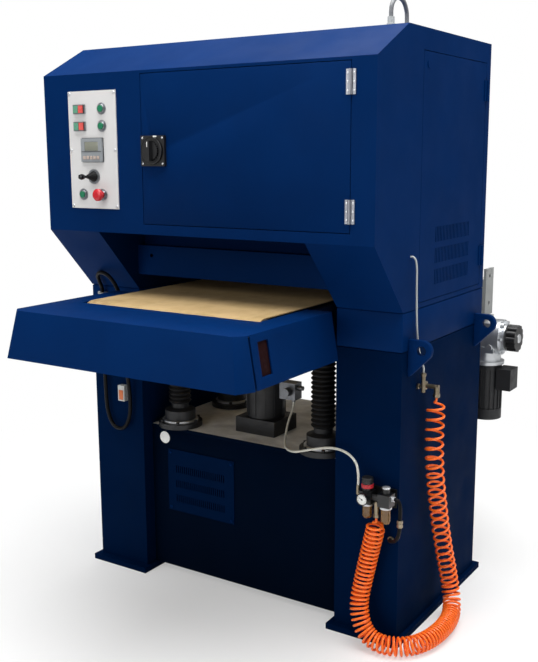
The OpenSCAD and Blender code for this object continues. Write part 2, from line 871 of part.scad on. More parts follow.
// Control panel with an opening for each device behind it.
panel_screw_r = 4;
module at_panel(place) {
    translate([place[0], -panel_t, place[1]]) rotate([90, 0, 0]) children();
}
module control_panel() {
    color("#dcdcde") placed() {
        difference() {
            slab([panel_x, panel_x + panel_w], [-panel_t, 0], [panel_z, panel_z + panel_h]);
            for (place = [upper_button_at, middle_button_at, lower_button_at, stop_at])
                rod_y(place[0], [-panel_t - over, over], place[1], neck_out_r + slide_gap * 2);
            rod_y(joystick_at[0], [-panel_t - over, over], joystick_at[1], ball_r + seam + slide_gap * 2);
            for (place = [upper_keys_at, lower_keys_at])
                slab([place[0] - key_housing_w / 2 + seam, place[0] + key_housing_w / 2 - seam], [-panel_t - over, over],
                    [place[1] - key_housing_h / 2 + seam / 2, place[1] + key_housing_h / 2 - seam / 2]);
            slab([display_at[0] - display_w / 2 + seam, display_at[0] + display_w / 2 - seam], [-panel_t - over, over],
                [display_at[1] - display_h / 2 + seam, display_at[1] + display_h / 2 - seam]);
        }
        for (x = [panel_x + panel_screw_r * 2, panel_x + panel_w - panel_screw_r * 2],
            z = [panel_z + panel_screw_r * 2, panel_z + panel_h / 2, panel_z + panel_h - panel_screw_r * 2])
            rod_y(x, [-panel_t - panel_screw_r / 2, -panel_t], z, panel_screw_r);
    }
}

// Display with its keys, set in the panel.
display_w = 92;
display_h = 76;
display_out = 9;
display_deep = 40;
lcd_w = 60;
lcd_h = 30;
lcd_up = 12;
module display_unit() {
    x = display_at[0];
    z = display_at[1];
    face = -panel_t - display_out;
    color("#8d9296") placed() {
        difference() {
            union() {
                slab([x - display_w / 2, x + display_w / 2], [face, -panel_t], [z - display_h / 2, z + display_h / 2]);
                slab([x - display_w / 2 + seam, x + display_w / 2 - seam], [-panel_t, display_deep],
                    [z - display_h / 2 + seam, z + display_h / 2 - seam]);
            }
            slab([x - lcd_w / 2, x + lcd_w / 2], [face - over, face + seam], [z + lcd_up - lcd_h / 2, z + lcd_up + lcd_h / 2]);
        }
        for (i = [-2 : 2])
            slab([x + i * seam * 5 - seam * 2, x + i * seam * 5 + seam * 2], [face - seam / 2, face],
                [z - display_h / 2 + seam * 3, z - display_h / 2 + seam * 6]);
    }
}

// Bezels and switch bodies: round cups for the buttons, boxes for the double keys,
// a socket for the joystick's ball.
neck_out_r = button_r + 2;
ball_r = 17;
boot_ring = 7;
module round_bezel(place, bezel) {
    at_panel(place) rotate_extrude($fn = 64) polygon([
        [button_r + slide_gap, bezel_out],
        [bezel - 1.5, bezel_out],
        [bezel, bezel_out - 1.5],
        [bezel, 0],
        [neck_out_r, 0],
        [neck_out_r, -panel_t],
        [bezel, -panel_t],
        [bezel, -panel_t - cup_depth],
        [0, -panel_t - cup_depth],
        [0, -panel_t - cup_depth + seam],
        [button_r + slide_gap, -panel_t - cup_depth + seam]
    ]);
}
module key_bezel(place) {
    x = place[0];
    z = place[1];
    difference() {
        union() {
            slab([x - key_housing_w / 2, x + key_housing_w / 2], [-panel_t - bezel_out, -panel_t],
                [z - key_housing_h / 2, z + key_housing_h / 2]);
            slab([x - key_housing_w / 2 + seam, x + key_housing_w / 2 - seam], [-panel_t, cup_depth],
                [z - key_housing_h / 2 + seam / 2, z + key_housing_h / 2 - seam / 2]);
        }
        for (side = [-1, 1])
            slab([x + side * key_pitch / 2 - key_w / 2 - slide_gap, x + side * key_pitch / 2 + key_w / 2 + slide_gap],
                [-panel_t - bezel_out - over, cup_depth - seam],
                [z - key_h / 2 - slide_gap, z + key_h / 2 + slide_gap]);
    }
}
key_pitch = key_w + 2;
module switch_bezels() {
    color(steel) placed() {
        for (place = [upper_button_at, middle_button_at, lower_button_at, stop_at]) round_bezel(place, bezel_r);
        for (place = [upper_keys_at, lower_keys_at]) key_bezel(place);
        at_panel(joystick_at) rotate_extrude($fn = 64) polygon([
            [ball_r + slide_gap * 2, boot_ring - 2],
            [ball_r + boot_ring, boot_ring - 2],
            [ball_r + boot_ring, 0],
            [ball_r + seam, 0],
            [ball_r + seam, -panel_t],
            [ball_r + boot_ring, -panel_t],
            [ball_r + boot_ring, -panel_t - cup_depth],
            [0, -panel_t - cup_depth],
            [0, -panel_t - cup_depth + seam],
            [ball_r + slide_gap * 2, -panel_t - cup_depth + seam]
        ]);
    }
}

// Round buttons, drawn with their axis out of the panel.
button_proud = 3;
button_deep = 8;
module round_button(place, paint_colour) {
    color(paint_colour) placed() at_panel(place) rotate_extrude($fn = 48) polygon([
        [0, -button_deep - panel_t],
        [button_r, -button_deep - panel_t],
        [button_r, bezel_out + button_proud - 1],
        [button_r - 1, bezel_out + button_proud],
        [0, bezel_out + button_proud]
    ]);
}
module upper_button() {
    round_button(upper_button_at, "#1f8f4d");
}
module middle_button() {
    round_button(middle_button_at, "#1f8f4d");
}
module lower_button() {
    round_button(lower_button_at, "#1f8f4d");
}

// Rectangular key of a double switch. Side is -1 for the left key and 1 for the right one.
module one_key(place, side, paint_colour) {
    x = place[0] + side * key_pitch / 2;
    color(paint_colour) placed() slab([x - key_w / 2, x + key_w / 2],
        [-panel_t - bezel_out - button_proud, button_deep], [place[1] - key_h / 2, place[1] + key_h / 2]);
}
module upper_green_key() {
    one_key(upper_keys_at, -1, "#1f8f4d");
}
module upper_red_key() {
    one_key(upper_keys_at, 1, "#c4202a");
}
module lower_green_key() {
    one_key(lower_keys_at, -1, "#1f8f4d");
}
module lower_red_key() {
    one_key(lower_keys_at, 1, "#c4202a");
}

// Emergency stop: mushroom head on its plunger.
stop_neck = 12;
stop_head_h = 16;
module stop_mushroom() {
    low = bezel_out + stop_neck;
    color("#d0202a") placed() at_panel(stop_at) rotate_extrude($fn = 64) polygon([
        [0, -button_deep - panel_t],
        [button_r, -button_deep - panel_t],
        [button_r, low - 4],
        [stop_r - 2, low],
        [stop_r, low + 3],
        [stop_r, low + stop_head_h * 0.6],
        [stop_r * 0.85, low + stop_head_h * 0.85],
        [stop_r * 0.5, low + stop_head_h],
        [0, low + stop_head_h]
    ]);
}

// Joystick: ball in its socket, ribbed boot, rod and knob.
stick_l = 62;
stick_r = 4;
knob_r = 9;
module joystick() {
    color(black) placed() at_panel(joystick_at) {
        sphere(r = ball_r, $fn = 48);
        cylinder(h = stick_l * 0.45, r1 = ball_r * 0.9, r2 = stick_r * 1.6, $fn = 48);
        cylinder(h = stick_l, r = stick_r, $fn = 32);
        translate([0, 0, stick_l]) sphere(r = knob_r, $fn = 40);
    }
}

// Front hinges: outer knuckles and pin on the frame, middle knuckle on the door.
front_hinge_low = 60;
front_hinge_high = 56;
front_hinge_z = [door_low + front_hinge_low, door_low + door_h - front_hinge_high];
leaf_w = 15;
leaf_t = 3;
front_pin_x = door_right + door_gap / 2;
front_pin_y = -pin_r * 1.7;
knuckle_r = pin_r * 1.7;
knuckle_gap = 0.3;
module front_hinge_bases() {
    color("#cfd2d6") placed() for (z = front_hinge_z) {
        slab([front_pin_x + knuckle_r + knuckle_gap, front_pin_x + leaf_w], [-leaf_t, 0],
            [z - hinge_h / 2, z + hinge_h / 2]);
        for (end = [z - hinge_h / 2, z + hinge_h / 4]) {
            rod_z(front_pin_x, front_pin_y, [end, end + hinge_h / 4], knuckle_r);
            slab([front_pin_x, front_pin_x + leaf_w], [-leaf_t, 0], [end, end + hinge_h / 4]);
        }
        rod_z(front_pin_x, front_pin_y, [z - hinge_h / 2, z + hinge_h / 2], pin_r);
    }
}
module front_hinge_leaves() {
    color("#cfd2d6") placed() for (z = front_hinge_z) difference() {
        union() {
            slab([front_pin_x - leaf_w, front_pin_x - knuckle_r - knuckle_gap], [-leaf_t, 0],
                [z - hinge_h / 2, z + hinge_h / 2]);
            rod_z(front_pin_x, front_pin_y, [z - hinge_h / 4 + knuckle_gap, z + hinge_h / 4 - knuckle_gap], knuckle_r);
            slab([front_pin_x - leaf_w, front_pin_x], [-leaf_t, 0], [z - hinge_h / 4 + knuckle_gap, z + hinge_h / 4 - knuckle_gap]);
        }
        rod_z(front_pin_x, front_pin_y, [z - hinge_h / 2 - over, z + hinge_h / 2 + over], pin_r + run_fit);
    }
}

// Front door: flush sheet with a folded rim.
module front_door() {
    color(paint) placed() {
        difference() {
            slab([door_left, door_right], [0, door_t], [door_low, door_low + door_h]);
            rod_y(isolator_at[0], [-over, door_t + over], isolator_at[1], isolator_shaft_r * 2);
        }
        difference() {
            slab([door_left + door_gap, door_right - door_gap], [door_t, door_t + rim],
                [door_low + door_gap, door_low + door_h - door_gap]);
            slab([door_left + door_gap + door_t, door_right - door_gap - door_t], [0, door_t + rim + over],
                [door_low + door_gap + door_t, door_low + door_h - door_gap - door_t]);
        }
    }
}

// Isolator on the door: square base, round disc, turning knob with a grip bar.
isolator_t = 10;
isolator_disc_t = 6;
isolator_shaft_r = 6;
grip_l = 62;
grip_w = 15;
grip_h = 20;
module isolator_base() {
    half = isolator_w / 2;
    color(black) placed() difference() {
        union() {
            slab([isolator_at[0] - half, isolator_at[0] + half], [-isolator_t, 0], [isolator_at[1] - half, isolator_at[1] + half]);
            rod_y(isolator_at[0], [-isolator_t - isolator_disc_t, -isolator_t], isolator_at[1], half * 0.85);
            rod_y(isolator_at[0], [0, door_t + rim], isolator_at[1], isolator_shaft_r * 2 - seam / 2);
        }
        rod_y(isolator_at[0], [-isolator_t - isolator_disc_t - over, door_t + rim + over], isolator_at[1],
            isolator_shaft_r + run_fit);
    }
}
module isolator_knob() {
    face = -isolator_t - isolator_disc_t;
    color(black) placed() {
        rod_y(isolator_at[0], [face - grip_h * 0.35, face], isolator_at[1], isolator_w * 0.3);
        slab([isolator_at[0] - grip_w / 2, isolator_at[0] + grip_w / 2], [face - grip_h, face],
            [isolator_at[1] - grip_l / 2, isolator_at[1] + grip_l / 2]);
        rod_y(isolator_at[0], [face, door_t + rim], isolator_at[1], isolator_shaft_r);
    }
}

// Side door: flush sheet with a folded rim, three rows of louvre slots and two hinge leaves.
side_slot_h = 48;
side_slot_w = 5;
side_slots = 24;
side_slot_span = 276;
side_slot_up = 45;
side_slot_low = side_door_z + side_slot_up;
side_slot_pitch = 67;
side_slot_in = 117;
lock_r = 12;
module side_door() {
    front = side_door_front + door_gap;
    rear = side_door_rear - door_gap;
    low = side_door_z + door_gap;
    high = side_door_z + side_door_h - door_gap;
    color(paint) placed() {
        difference() {
            slab([half_w - door_t, half_w], [front, rear], [low, high]);
            translate([half_w, rear - side_slot_in - side_slot_span, side_slot_low]) rotate([0, 0, 90])
                slot_rows(side_slot_span, side_slots, 3, side_slot_pitch, side_slot_h, side_slot_w, [-over, door_t + over]);
        }
        difference() {
            slab([half_w - door_t - rim, half_w - door_t], [front + door_gap, rear - door_gap], [low + door_gap, high - door_gap]);
            slab([half_w - door_t - rim - over, half_w], [front + door_gap + door_t, rear - door_gap - door_t],
                [low + door_gap + door_t, high - door_gap - door_t]);
        }
        rod_x([half_w, half_w + seam], front + lock_r * 3, high - lock_r * 3, lock_r);
        for (z = side_hinge_z) difference() {
            union() {
                rod_z(side_pin_x, side_pin_y, [z - hinge_h / 4 + knuckle_gap, z + hinge_h / 4 - knuckle_gap], pin_r * 2);
                slab([half_w, half_w + side_hinge_t], [side_pin_y - side_hinge_w, side_pin_y],
                    [z - hinge_h / 4 + knuckle_gap, z + hinge_h / 4 - knuckle_gap]);
                slab([half_w, half_w + side_hinge_t], [side_pin_y - side_hinge_w, side_pin_y - pin_r * 2],
                    [z - hinge_h / 2, z + hinge_h / 2]);
            }
            rod_z(side_pin_x, side_pin_y, [z - hinge_h / 2 - over, z + hinge_h / 2 + over], pin_r + run_fit);
        }
    }
}

// Table frame: bed under the belt's upper run, side rails, cross tubes and jack beams.
tube_w = 40;
tube_h = 45;
front_tube_y = 60;
rear_tube_ahead = 220;
tube_y_list = [front_tube_y, (front_tube_y + drive_y) / 2, drive_y - rear_tube_ahead];
bed_edge = 5;
module table_frame() {
    color("#3d4148") placed() difference() {
        union() {
            slab([-belt_w / 2 + bed_edge, belt_w / 2 - bed_edge], [-idler_out + roller_r + bed_edge, drive_y - roller_r - bed_edge],
                [bed_top - bed_t, bed_top]);
            pair() slab([rail_in, rail_out], [rail_front, rail_rear], [rail_z, rail_top]);
            for (y = tube_y_list)
                slab([-rail_in, rail_in], [y - tube_w / 2, y + tube_w / 2], [bed_top - bed_t - tube_h, bed_top - bed_t]);
            for (y = [screw_front_y, screw_rear_y])
                slab([-rail_in, rail_in], [y - beam_w / 2, y + beam_w / 2], [rail_z, rail_z + beam_h]);
        }
        for (y = [-idler_out, drive_y])
            rod_x([-rail_out - over, rail_out + over], y, roller_z, shaft_r + run_fit);
    }
}

// Outline of the covers in (x, y), with bevelled front corners, spread by s.
function cover_ring(s, rear) = [
    [-cover_half - s, rear],
    [-cover_half - s, cover_front + cover_corner],
    [-cover_half + cover_corner - s, cover_front - s],
    [cover_half - cover_corner + s, cover_front - s],
    [cover_half + s, cover_front + cover_corner],
    [cover_half + s, rear]
];
// Solid under the covers: a ring above, a wider one below.
module cover_mass(inset) {
    thin = 0.01;
    hull() {
        translate([0, 0, cover_top - thin - inset]) linear_extrude(thin) polygon(cover_ring(-inset, cover_rear + inset));
        translate([0, 0, cover_z - inset]) linear_extrude(thin) polygon(cover_ring(cover_flare - inset, cover_rear + inset));
    }
}
strip_in = rail_in - 2;
strip_out = 40;
strip_front = -idler_out - strip_out;
module cover_shell() {
    difference() {
        cover_mass(0);
        cover_mass(cover_t);
    }
}
// Front cover: the top strip round the belt and the folded front with its bevelled corners.
module front_cover() {
    color(paint) placed() difference() {
        cover_shell();
        slab([-strip_in, strip_in], [strip_front, cover_rear + over], [cover_z - over, cover_top + over]);
        slab([-body_w, body_w], [groove_y, cover_rear + over], [cover_z - over, cover_top - cover_t]);
    }
}
// Side covers: flared plates under the strip, with a window at the front.
window_front = 39;
window_rear = 90;
window_y = [groove_y + window_front, groove_y + window_rear];
window_low = 30;
window_head = 23;
window_z = [cover_z + window_low, cover_top - window_head];
module side_covers() {
    color(paint) placed() difference() {
        cover_shell();
        slab([-rail_out, rail_out], [cover_front - body_w, cover_rear + over], [cover_z - over, cover_top + over]);
        slab([-body_w, body_w], [cover_front - body_w, groove_y + groove], [cover_z - over, cover_top + over]);
        slab([-body_w, body_w], [cover_front - body_w, cover_rear + over], [cover_top - cover_t, cover_top + over]);
        slab([-body_w, body_w], window_y, window_z);
    }
}

// Conveyor belt round its two rollers.
module conveyor_belt() {
    color("#b08e5c") placed() belt_loop([-belt_w / 2, belt_w / 2], [-idler_out, roller_z], roller_r + belt_gap,
        [drive_y, roller_z], roller_r + belt_gap, belt_t);
}

// Rollers with their shafts.
roller_half = belt_w / 2 - 1;
module idler_roller() {
    color(steel) placed() {
        rod_x([-roller_half, roller_half], -idler_out, roller_z, roller_r);
        rod_x([-rail_out, rail_out], -idler_out, roller_z, shaft_r);
    }
}
module drive_roller() {
    color(steel) placed() {
        rod_x([-roller_half, roller_half], drive_y, roller_z, roller_r);
        rod_x([-rail_out, rail_out + shaft_r * 2], drive_y, roller_z, shaft_r);
    }
}

// Lifting screws under the table's beams.
module lift_screws() {
    color(steel) placed() each_screw() rod_z(0, 0, [screw_end, rail_z], screw_r);
}

// Drive bracket: closed chain case on the right rail, and the upright plate with two holes.
case_rear = rail_rear;
case_ahead = 100;
case_front = drive_y - case_ahead;
case_wall = 5;
upright_out = 26;
upright_x = gear_x + upright_out;
upright_t = 10;
upright_ahead = 75;
upright_behind = 5;
upright_y = [drive_y - upright_ahead, drive_y + upright_behind];
upright_up = 31;
bolt_in = 30;
bolt_up = 70;
upright_top = belt_top + upright_up;
upright_hole_r = 9;
module drive_bracket() {
    color("#8b8d88") placed() {
        difference() {
            slab([rail_out, gear_x], [case_front, case_rear], [gear_z - gear_half, roller_z + roller_r * 0.7]);
            slab([rail_out + case_wall, gear_x - case_wall], [case_front + case_wall, case_rear - case_wall],
                [gear_z - gear_half + case_wall, roller_z + roller_r * 0.7 - case_wall]);
            rod_x([rail_out - over, rail_out + shaft_r], drive_y, roller_z, shaft_r + run_fit);
        }
        difference() {
            slab([gear_x, upright_x + upright_t], upright_y, [gear_z + gear_half + 25, upright_top]);
            slab([gear_x - over, upright_x], [upright_y[0] - over, upright_y[1] + over],
                [gear_z + gear_half + 25 + upright_t, upright_top + over]);
            for (z = [upright_top - bolt_in, gear_z + gear_half + bolt_up])
                rod_x([upright_x - over, upright_x + upright_t + over], (upright_y[0] + upright_y[1]) / 2, z, upright_hole_r);
        }
    }
}

// Feed gearbox: cast body with a stepped variator, ribs and a brass sight plug.
gear_r = 60;
plug_r = 12;
motor_flange_t = 12;
module feed_gearbox() {
    right = gear_x + gear_w;
    low = gear_z - gear_half - gear_r * 0.6;
    color("#a9adb2") placed() difference() {
        union() {
            slab([gear_x, right], [gear_y - gear_half, gear_y + gear_half], [gear_z - gear_half, gear_z + gear_half]);
            rod_x([gear_x, right + variator_w * 0.5], gear_y, gear_z, gear_r + 8);
            rod_x([right, right + variator_w], gear_y, gear_z, gear_r - 8);
            rod_z(feed_motor_x, gear_y, [low, gear_z - gear_half], feed_motor_r * 0.85);
            rod_z(feed_motor_x, gear_y, [low - motor_flange_t, low], feed_motor_r + 4);
            for (i = [0 : 5])
                translate([0, gear_y, gear_z]) rotate([i * 60, 0, 0])
                    slab([right - 6, right + variator_w * 0.8], [gear_r - 12, gear_r + 5], [-4, 4]);
            rod_z(gear_x + gear_w / 2, gear_y, [gear_z + gear_half, gear_z + gear_half + 25], 16);
            rod_y(right - plug_r * 1.4, [gear_y - gear_half - 8, gear_y - gear_half], gear_z - gear_half * 0.6, plug_r);
        }
        rod_x([right, right + variator_w + over], gear_y, gear_z, wheel_shaft_r + run_fit);
    }
}

// Feed motor under the gearbox, with ribs and a terminal box.
feed_motor_out = 37;
feed_motor_x = gear_x + feed_motor_out;
feed_box = [48, 84, 82];
module feed_motor() {
    top = gear_z - gear_half - gear_r * 0.6 - motor_flange_t;
    color(dark) placed() {
        rod_z(feed_motor_x, gear_y, [top - feed_motor_l, top], feed_motor_r - 4);
        rod_z(feed_motor_x, gear_y, [top - feed_motor_l, top - feed_motor_l + 40], feed_motor_r);
        for (i = [0 : 19])
            translate([feed_motor_x, gear_y, 0]) rotate([0, 0, i * 18])
                slab([feed_motor_r - 8, feed_motor_r], [-1.5, 1.5], [top - feed_motor_l + 40, top - 20]);
        slab([feed_motor_x + feed_motor_r - 8, feed_motor_x + feed_motor_r + feed_box[0]],
            [gear_y - feed_box[1] / 2, gear_y + feed_box[1] / 2], [top - 12 - feed_box[2], top - 12]);
    }
}

// Scalloped speed handwheel on the variator.
wheel_shaft_r = 8;
wheel_w = 36;
lobe_r = 13;
module speed_handwheel() {
    start = gear_x + gear_w + variator_w;
    color(black) placed() {
        translate([start + 6, gear_y, gear_z]) rotate([0, 90, 0]) {
            linear_extrude(wheel_w) {
                circle(r = wheel_r - lobe_r * 0.6, $fn = 64);
                for (i = [0 : lobe_count - 1])
                    rotate([0, 0, i * 360 / lobe_count]) translate([wheel_r - lobe_r, 0]) circle(r = lobe_r, $fn = 32);
            }
        }
        rod_x([start - variator_w * 0.6, start + 6], gear_y, gear_z, wheel_shaft_r);
    }
}

// Air preparation unit on the right column: filter with regulator and gauge, oiler, bracket.
gauge_r = 18;
gauge_t = 16;
module air_unit() {
    half = unit_block / 2;
    color("#8f9296") placed() {
        slab([filter_x - half, oiler_x + half], [set_back - 6, set_back], [unit_z - half - 14, unit_z + half + 6]);
        for (x = [filter_x, oiler_x]) {
            slab([x - half, x + half], [unit_y - half, unit_y + half], [unit_z - half, unit_z + half]);
            slab([x - half / 2, x + half / 2], [unit_y + half, set_back - 6], [unit_z - half / 2, unit_z + half / 2]);
            rod_z(x, unit_y, [unit_z - half - 8, unit_z - half], bowl_r + 3);
        }
        rod_x([filter_x + half, oiler_x - half], unit_y, unit_z, half * 0.55);
        difference() {
            rod_z(filter_x, unit_y, [unit_z + half, unit_z + half + 8], bowl_r + 2);
            rod_z(filter_x, unit_y, [unit_z + half, unit_z + half + 8 + over], knob_shaft_r + run_fit);
        }
        rod_z(oiler_x, unit_y, [unit_z + half, unit_z + half + 16], bowl_r * 0.8);
        rod_y(filter_x, [unit_y - half - gauge_t, unit_y - half], unit_z, gauge_r);
    }
}
// Clear bowls of the filter and the oiler.
bowl_r = 15;
module air_bowls() {
    top = unit_z - unit_block / 2 - collar_h;
    color("#b97a2a") placed() for (place = [[filter_x, 42], [oiler_x, 50]])
        translate([place[0], unit_y, 0]) rotate_extrude($fn = 48) polygon([
            [0, top],
            [bowl_r, top],
            [bowl_r, top - place[1] * 0.8],
            [bowl_r * 0.8, top - place[1] * 0.95],
            [bowl_r * 0.35, top - place[1]],
            [0, top - place[1]]
        ]);
}
knob_shaft_r = 4;
module regulator_knob() {
    low = unit_z + unit_block / 2 + collar_h;
    color(black) placed() {
        rod_z(filter_x, unit_y, [low + knuckle_gap, low + 34], bowl_r + 2);
        rod_z(filter_x, unit_y, [low - 8, low + knuckle_gap], knob_shaft_r);
    }
}

// Hose fittings: elbow on the right wall, coupler and tube elbow at the air unit.
elbow_in = 166;
elbow_drop = 131;
elbow_at = [half_w, set_back + elbow_in, column_h - elbow_drop];
elbow_out = 44;
fitting_r = 9;
tube_coupler_out = 20;
tube_coupler_in = 116;
tube_coupler_drop = 78;
tube_coupler_at = [half_w + tube_coupler_out, set_back + tube_coupler_in, column_h - tube_coupler_drop];
coupler_drop = 64;
coupler_low = unit_z - coupler_drop;
module hose_fittings() {
    coupler_x = (filter_x + oiler_x) / 2;
    tube_x = filter_x - unit_block / 2 - air_tube_r * 3;
    color("#b8924a") placed() {
        rod_x([elbow_at[0], elbow_at[0] + elbow_out + fitting_r * 0.8], elbow_at[1], elbow_at[2], fitting_r * 0.8);
        rod_x([elbow_at[0], elbow_at[0] + fitting_r], elbow_at[1], elbow_at[2], fitting_r * 1.5);
        rod_z(elbow_at[0] + elbow_out, elbow_at[1], [elbow_at[2] - 34, elbow_at[2]], fitting_r);
        rod_z(tube_coupler_at[0], tube_coupler_at[1], [tube_coupler_at[2] - 62, tube_coupler_at[2]], side_tube_r * 2.2);
        rod_x([half_w, tube_coupler_at[0]], tube_coupler_at[1], tube_coupler_at[2] - 45, side_tube_r * 1.8);
        rod_z(coupler_x, unit_y, [coupler_low, unit_z - unit_block * 0.28], fitting_r * 0.9);
        rod_x([tube_x, filter_x - unit_block / 2], unit_y, unit_z + tube_up, air_tube_r * 1.4);
        rod_z(tube_x, unit_y, [unit_z, unit_z + 30], air_tube_r * 1.6);
    }
}

// Valve block on the side of the lift motor, with its solenoid and fittings.
valve = [64, 46, 60];
valve_up = 130;
valve_low = base_top + valve_up;
module valve_block() {
    x = lift_motor_at[0] + lift_motor_r + seam;
    y = lift_motor_at[1];
    color(steel) placed() {
        slab([x, x + valve[0]], [y - valve[1] / 2, y + valve[1] / 2], [valve_low, valve_low + valve[2]]);
        rod_y(x + valve[0] * 0.6, [y - valve[1] / 2 - 26, y - valve[1] / 2], valve_low + valve[2] / 2, 15);
        rod_x([x + valve[0], x + valve[0] + 20], y, valve_low + valve[2] * 0.7, 8);
        rod_z(x + valve[0] * 0.7, y, [valve_low - 10, valve_low], air_tube_r * 1.6);
    }
}

// Cable fittings: glands on the roof and on the left column, clip bracket and socket box.
roof_gland_in = 98;
roof_gland_x = half_w - roof_gland_in;
roof_gland_y = 279;
roof_inlet_y = 388;
gland_h = 33;
cable_left_in = 65;
cable_left_x = -half_w + cable_left_in;
cable_right_in = 184;
cable_right_x = -half_w + cable_right_in;
clip_up = 100;
clip_z = column_h + clip_up;
gland_low_drop = 41;
gland_low_z = column_h - gland_low_drop;
gland_high_up = 84;
gland_high_z = column_h + gland_high_up;
socket_in = 142;
socket_drop = 268;
socket_at = [-half_w + socket_in, column_h - socket_drop];
socket = [30, 22, 58];
cable_y = 176;
module gland_ring(x, y, z, r) {
    rod_z(x, y, [z, z + gland_h * 0.4], r * 2);
    rod_z(x, y, [z + gland_h * 0.4, z + gland_h], r * 1.6);
}
module cable_fittings() {
    color("#c9cbc8") placed() {
        gland_ring(roof_gland_x, roof_gland_y, body_h, conduit_r);
        rod_z(roof_gland_x, roof_inlet_y, [body_h, body_h + gland_h * 0.3], conduit_r * 1.7);
        slab([socket_at[0] - socket[0] / 2, socket_at[0] + socket[0] / 2], [set_back - socket[1], set_back],
            [socket_at[1] - socket[2] / 2, socket_at[1] + socket[2] / 2]);
        for (z = [gland_low_z, gland_high_z]) {
            rod_y(cable_right_x, [set_back - 6, set_back], z, cable_r * 1.8);
        }
        difference() {
            slab([cable_left_x - 34, cable_left_x + 14], [cable_y - cable_r - 4, set_back], [clip_z - 22, clip_z]);
            rod_z(cable_left_x, cable_y, [clip_z - 22 - over, clip_z + over], cable_r + slide_gap * 2);
            slab([cable_left_x - 34 - over, cable_left_x - cable_r - 4], [cable_y - cable_r - 4 - over, set_back - 4],
                [clip_z - 22 - over, clip_z + over]);
        }
    }
}

// Tubes that follow a route: points on a smooth curve, rings carried along without twist.
function spline(p, i, u) =
    let (
        n = len(p) - 1,
        a = p[max(i - 1, 0)],
        b = p[i],
        c = p[i + 1],
        d = p[min(i + 2, n)]
    )
    ((2 * b) + (c - a) * u + (2 * a - 5 * b + 4 * c - d) * u * u + (3 * b - a - 3 * c + d) * u * u * u) / 2;
function smooth(p, steps) = [
    for (i = [0 : len(p) - 2], k = [0 : steps - 1]) spline(p, i, k / steps),
    p[len(p) - 1]
];
function unit(v) = v / norm(v);
function tangent(p, i) = unit(p[min(i + 1, len(p) - 1)] - p[max(i - 1, 0)]);
function square_to(v, t) = unit(v - (v * t) * t);
// Normals that turn as little as possible from one point to the next.
function normals(p, first) = [
    for (i = 0, n = square_to(first, tangent(p, 0)); i < len(p);
        i = i + 1, n = i < len(p) ? square_to(n, tangent(p, i)) : n) n
];
function tube_ring(c, n, t, r, sides) = [
    for (k = [0 : sides - 1]) c + r * (cos(k * 360 / sides) * n + sin(k * 360 / sides) * cross(t, n))
];
// Closed tube through the points.
module sweep(p, r, sides, first) {
    n = normals(p, first);
    count = len(p);
    rings = [for (i = [0 : count - 1]) each tube_ring(p[i], n[i], tangent(p, i), r, sides)];
    walls = [
        for (i = [0 : count - 2], k = [0 : sides - 1])
            let (a = i * sides + k, b = i * sides + (k + 1) % sides)
            each [[a, a + sides, b], [b, a + sides, b + sides]]
    ];
    caps = [
        for (k = [1 : sides - 2]) [0, k, k + 1],
        for (k = [1 : sides - 2]) [(count - 1) * sides, (count - 1) * sides + k + 1, (count - 1) * sides + k]
    ];
    polyhedron(points = rings, faces = concat(walls, caps));
}

// The routes are drawn for these sizes, and follow the machine when it changes.
drawn_half_w = 626;
drawn_column_h = 946;
drawn_body_h = 1900;
drawn_base_top = 560;
route_low = 100;
route_high = 400;
// Share of the way from a to b that x has gone.
function gone(x, a, b) = min(1, max(0, (x - a) / (b - a)));
function beside_right(p) = [
    p[0] + half_w - drawn_half_w,
    p[1],
    p[2] + (column_h - drawn_column_h) * gone(p[2], route_low, route_high)
];
function beside_left(p) = [
    p[0] - half_w + drawn_half_w,
    p[1],
    p[2] + (column_h - drawn_column_h) * gone(p[2], route_high, drawn_column_h * 0.85)
];
function over_base(p) = [
    p[0] + (half_w - drawn_half_w) * gone(p[0], drawn_half_w * 0.2, drawn_half_w * 0.75),
    p[1],
    p[2] + (base_top - drawn_base_top) * (1 - gone(p[0], drawn_half_w * 0.4, drawn_half_w * 0.75))
        + (column_h - drawn_column_h) * gone(p[0], drawn_half_w * 0.4, drawn_half_w * 0.75)
];

// Coiled air hose: route of the coil's middle with the pitch wanted at each point.
// It hangs from the side elbow, lies on the floor and climbs to the air unit.
coil_route = [
    [670, 362, 781], [670, 362, 760], [670, 357, 700], [671, 354, 620], [672, 362, 540], [673, 380, 460],
    [674, 402, 380], [676, 426, 300], [679, 450, 225], [684, 468, 162], [692, 474, 108], [704, 462, 66],
    [717, 430, 40], [727, 385, 31.4], [732, 330, 31.4], [730, 272, 31.4], [719, 216, 31.4], [697, 168, 31.4],
    [665, 138, 31.4], [629, 125, 31.4], [592, 123, 34], [557, 124, 54], [533, 130, 94], [522, 142, 145],
    [527, 154, 205], [538, 158, 265], [550, 160, 325], [562, 159, 375], [568, 158, 410], [568, 158, 428]
];
coil_pitch = [
    30, 30, 31, 31, 31, 30,
    30, 29, 27, 22, 19.2, 17.3,
    15.4, 12.9, 12, 12.2, 13.7, 15.3,
    15.9, 15.5, 15, 15, 15.3, 15,
    14.6, 14.6, 14.6, 15, 15.4, 15.9
];
curl_rings = 8;
hose_sides = 6;
route_steps = 8;
coil_in = 8;
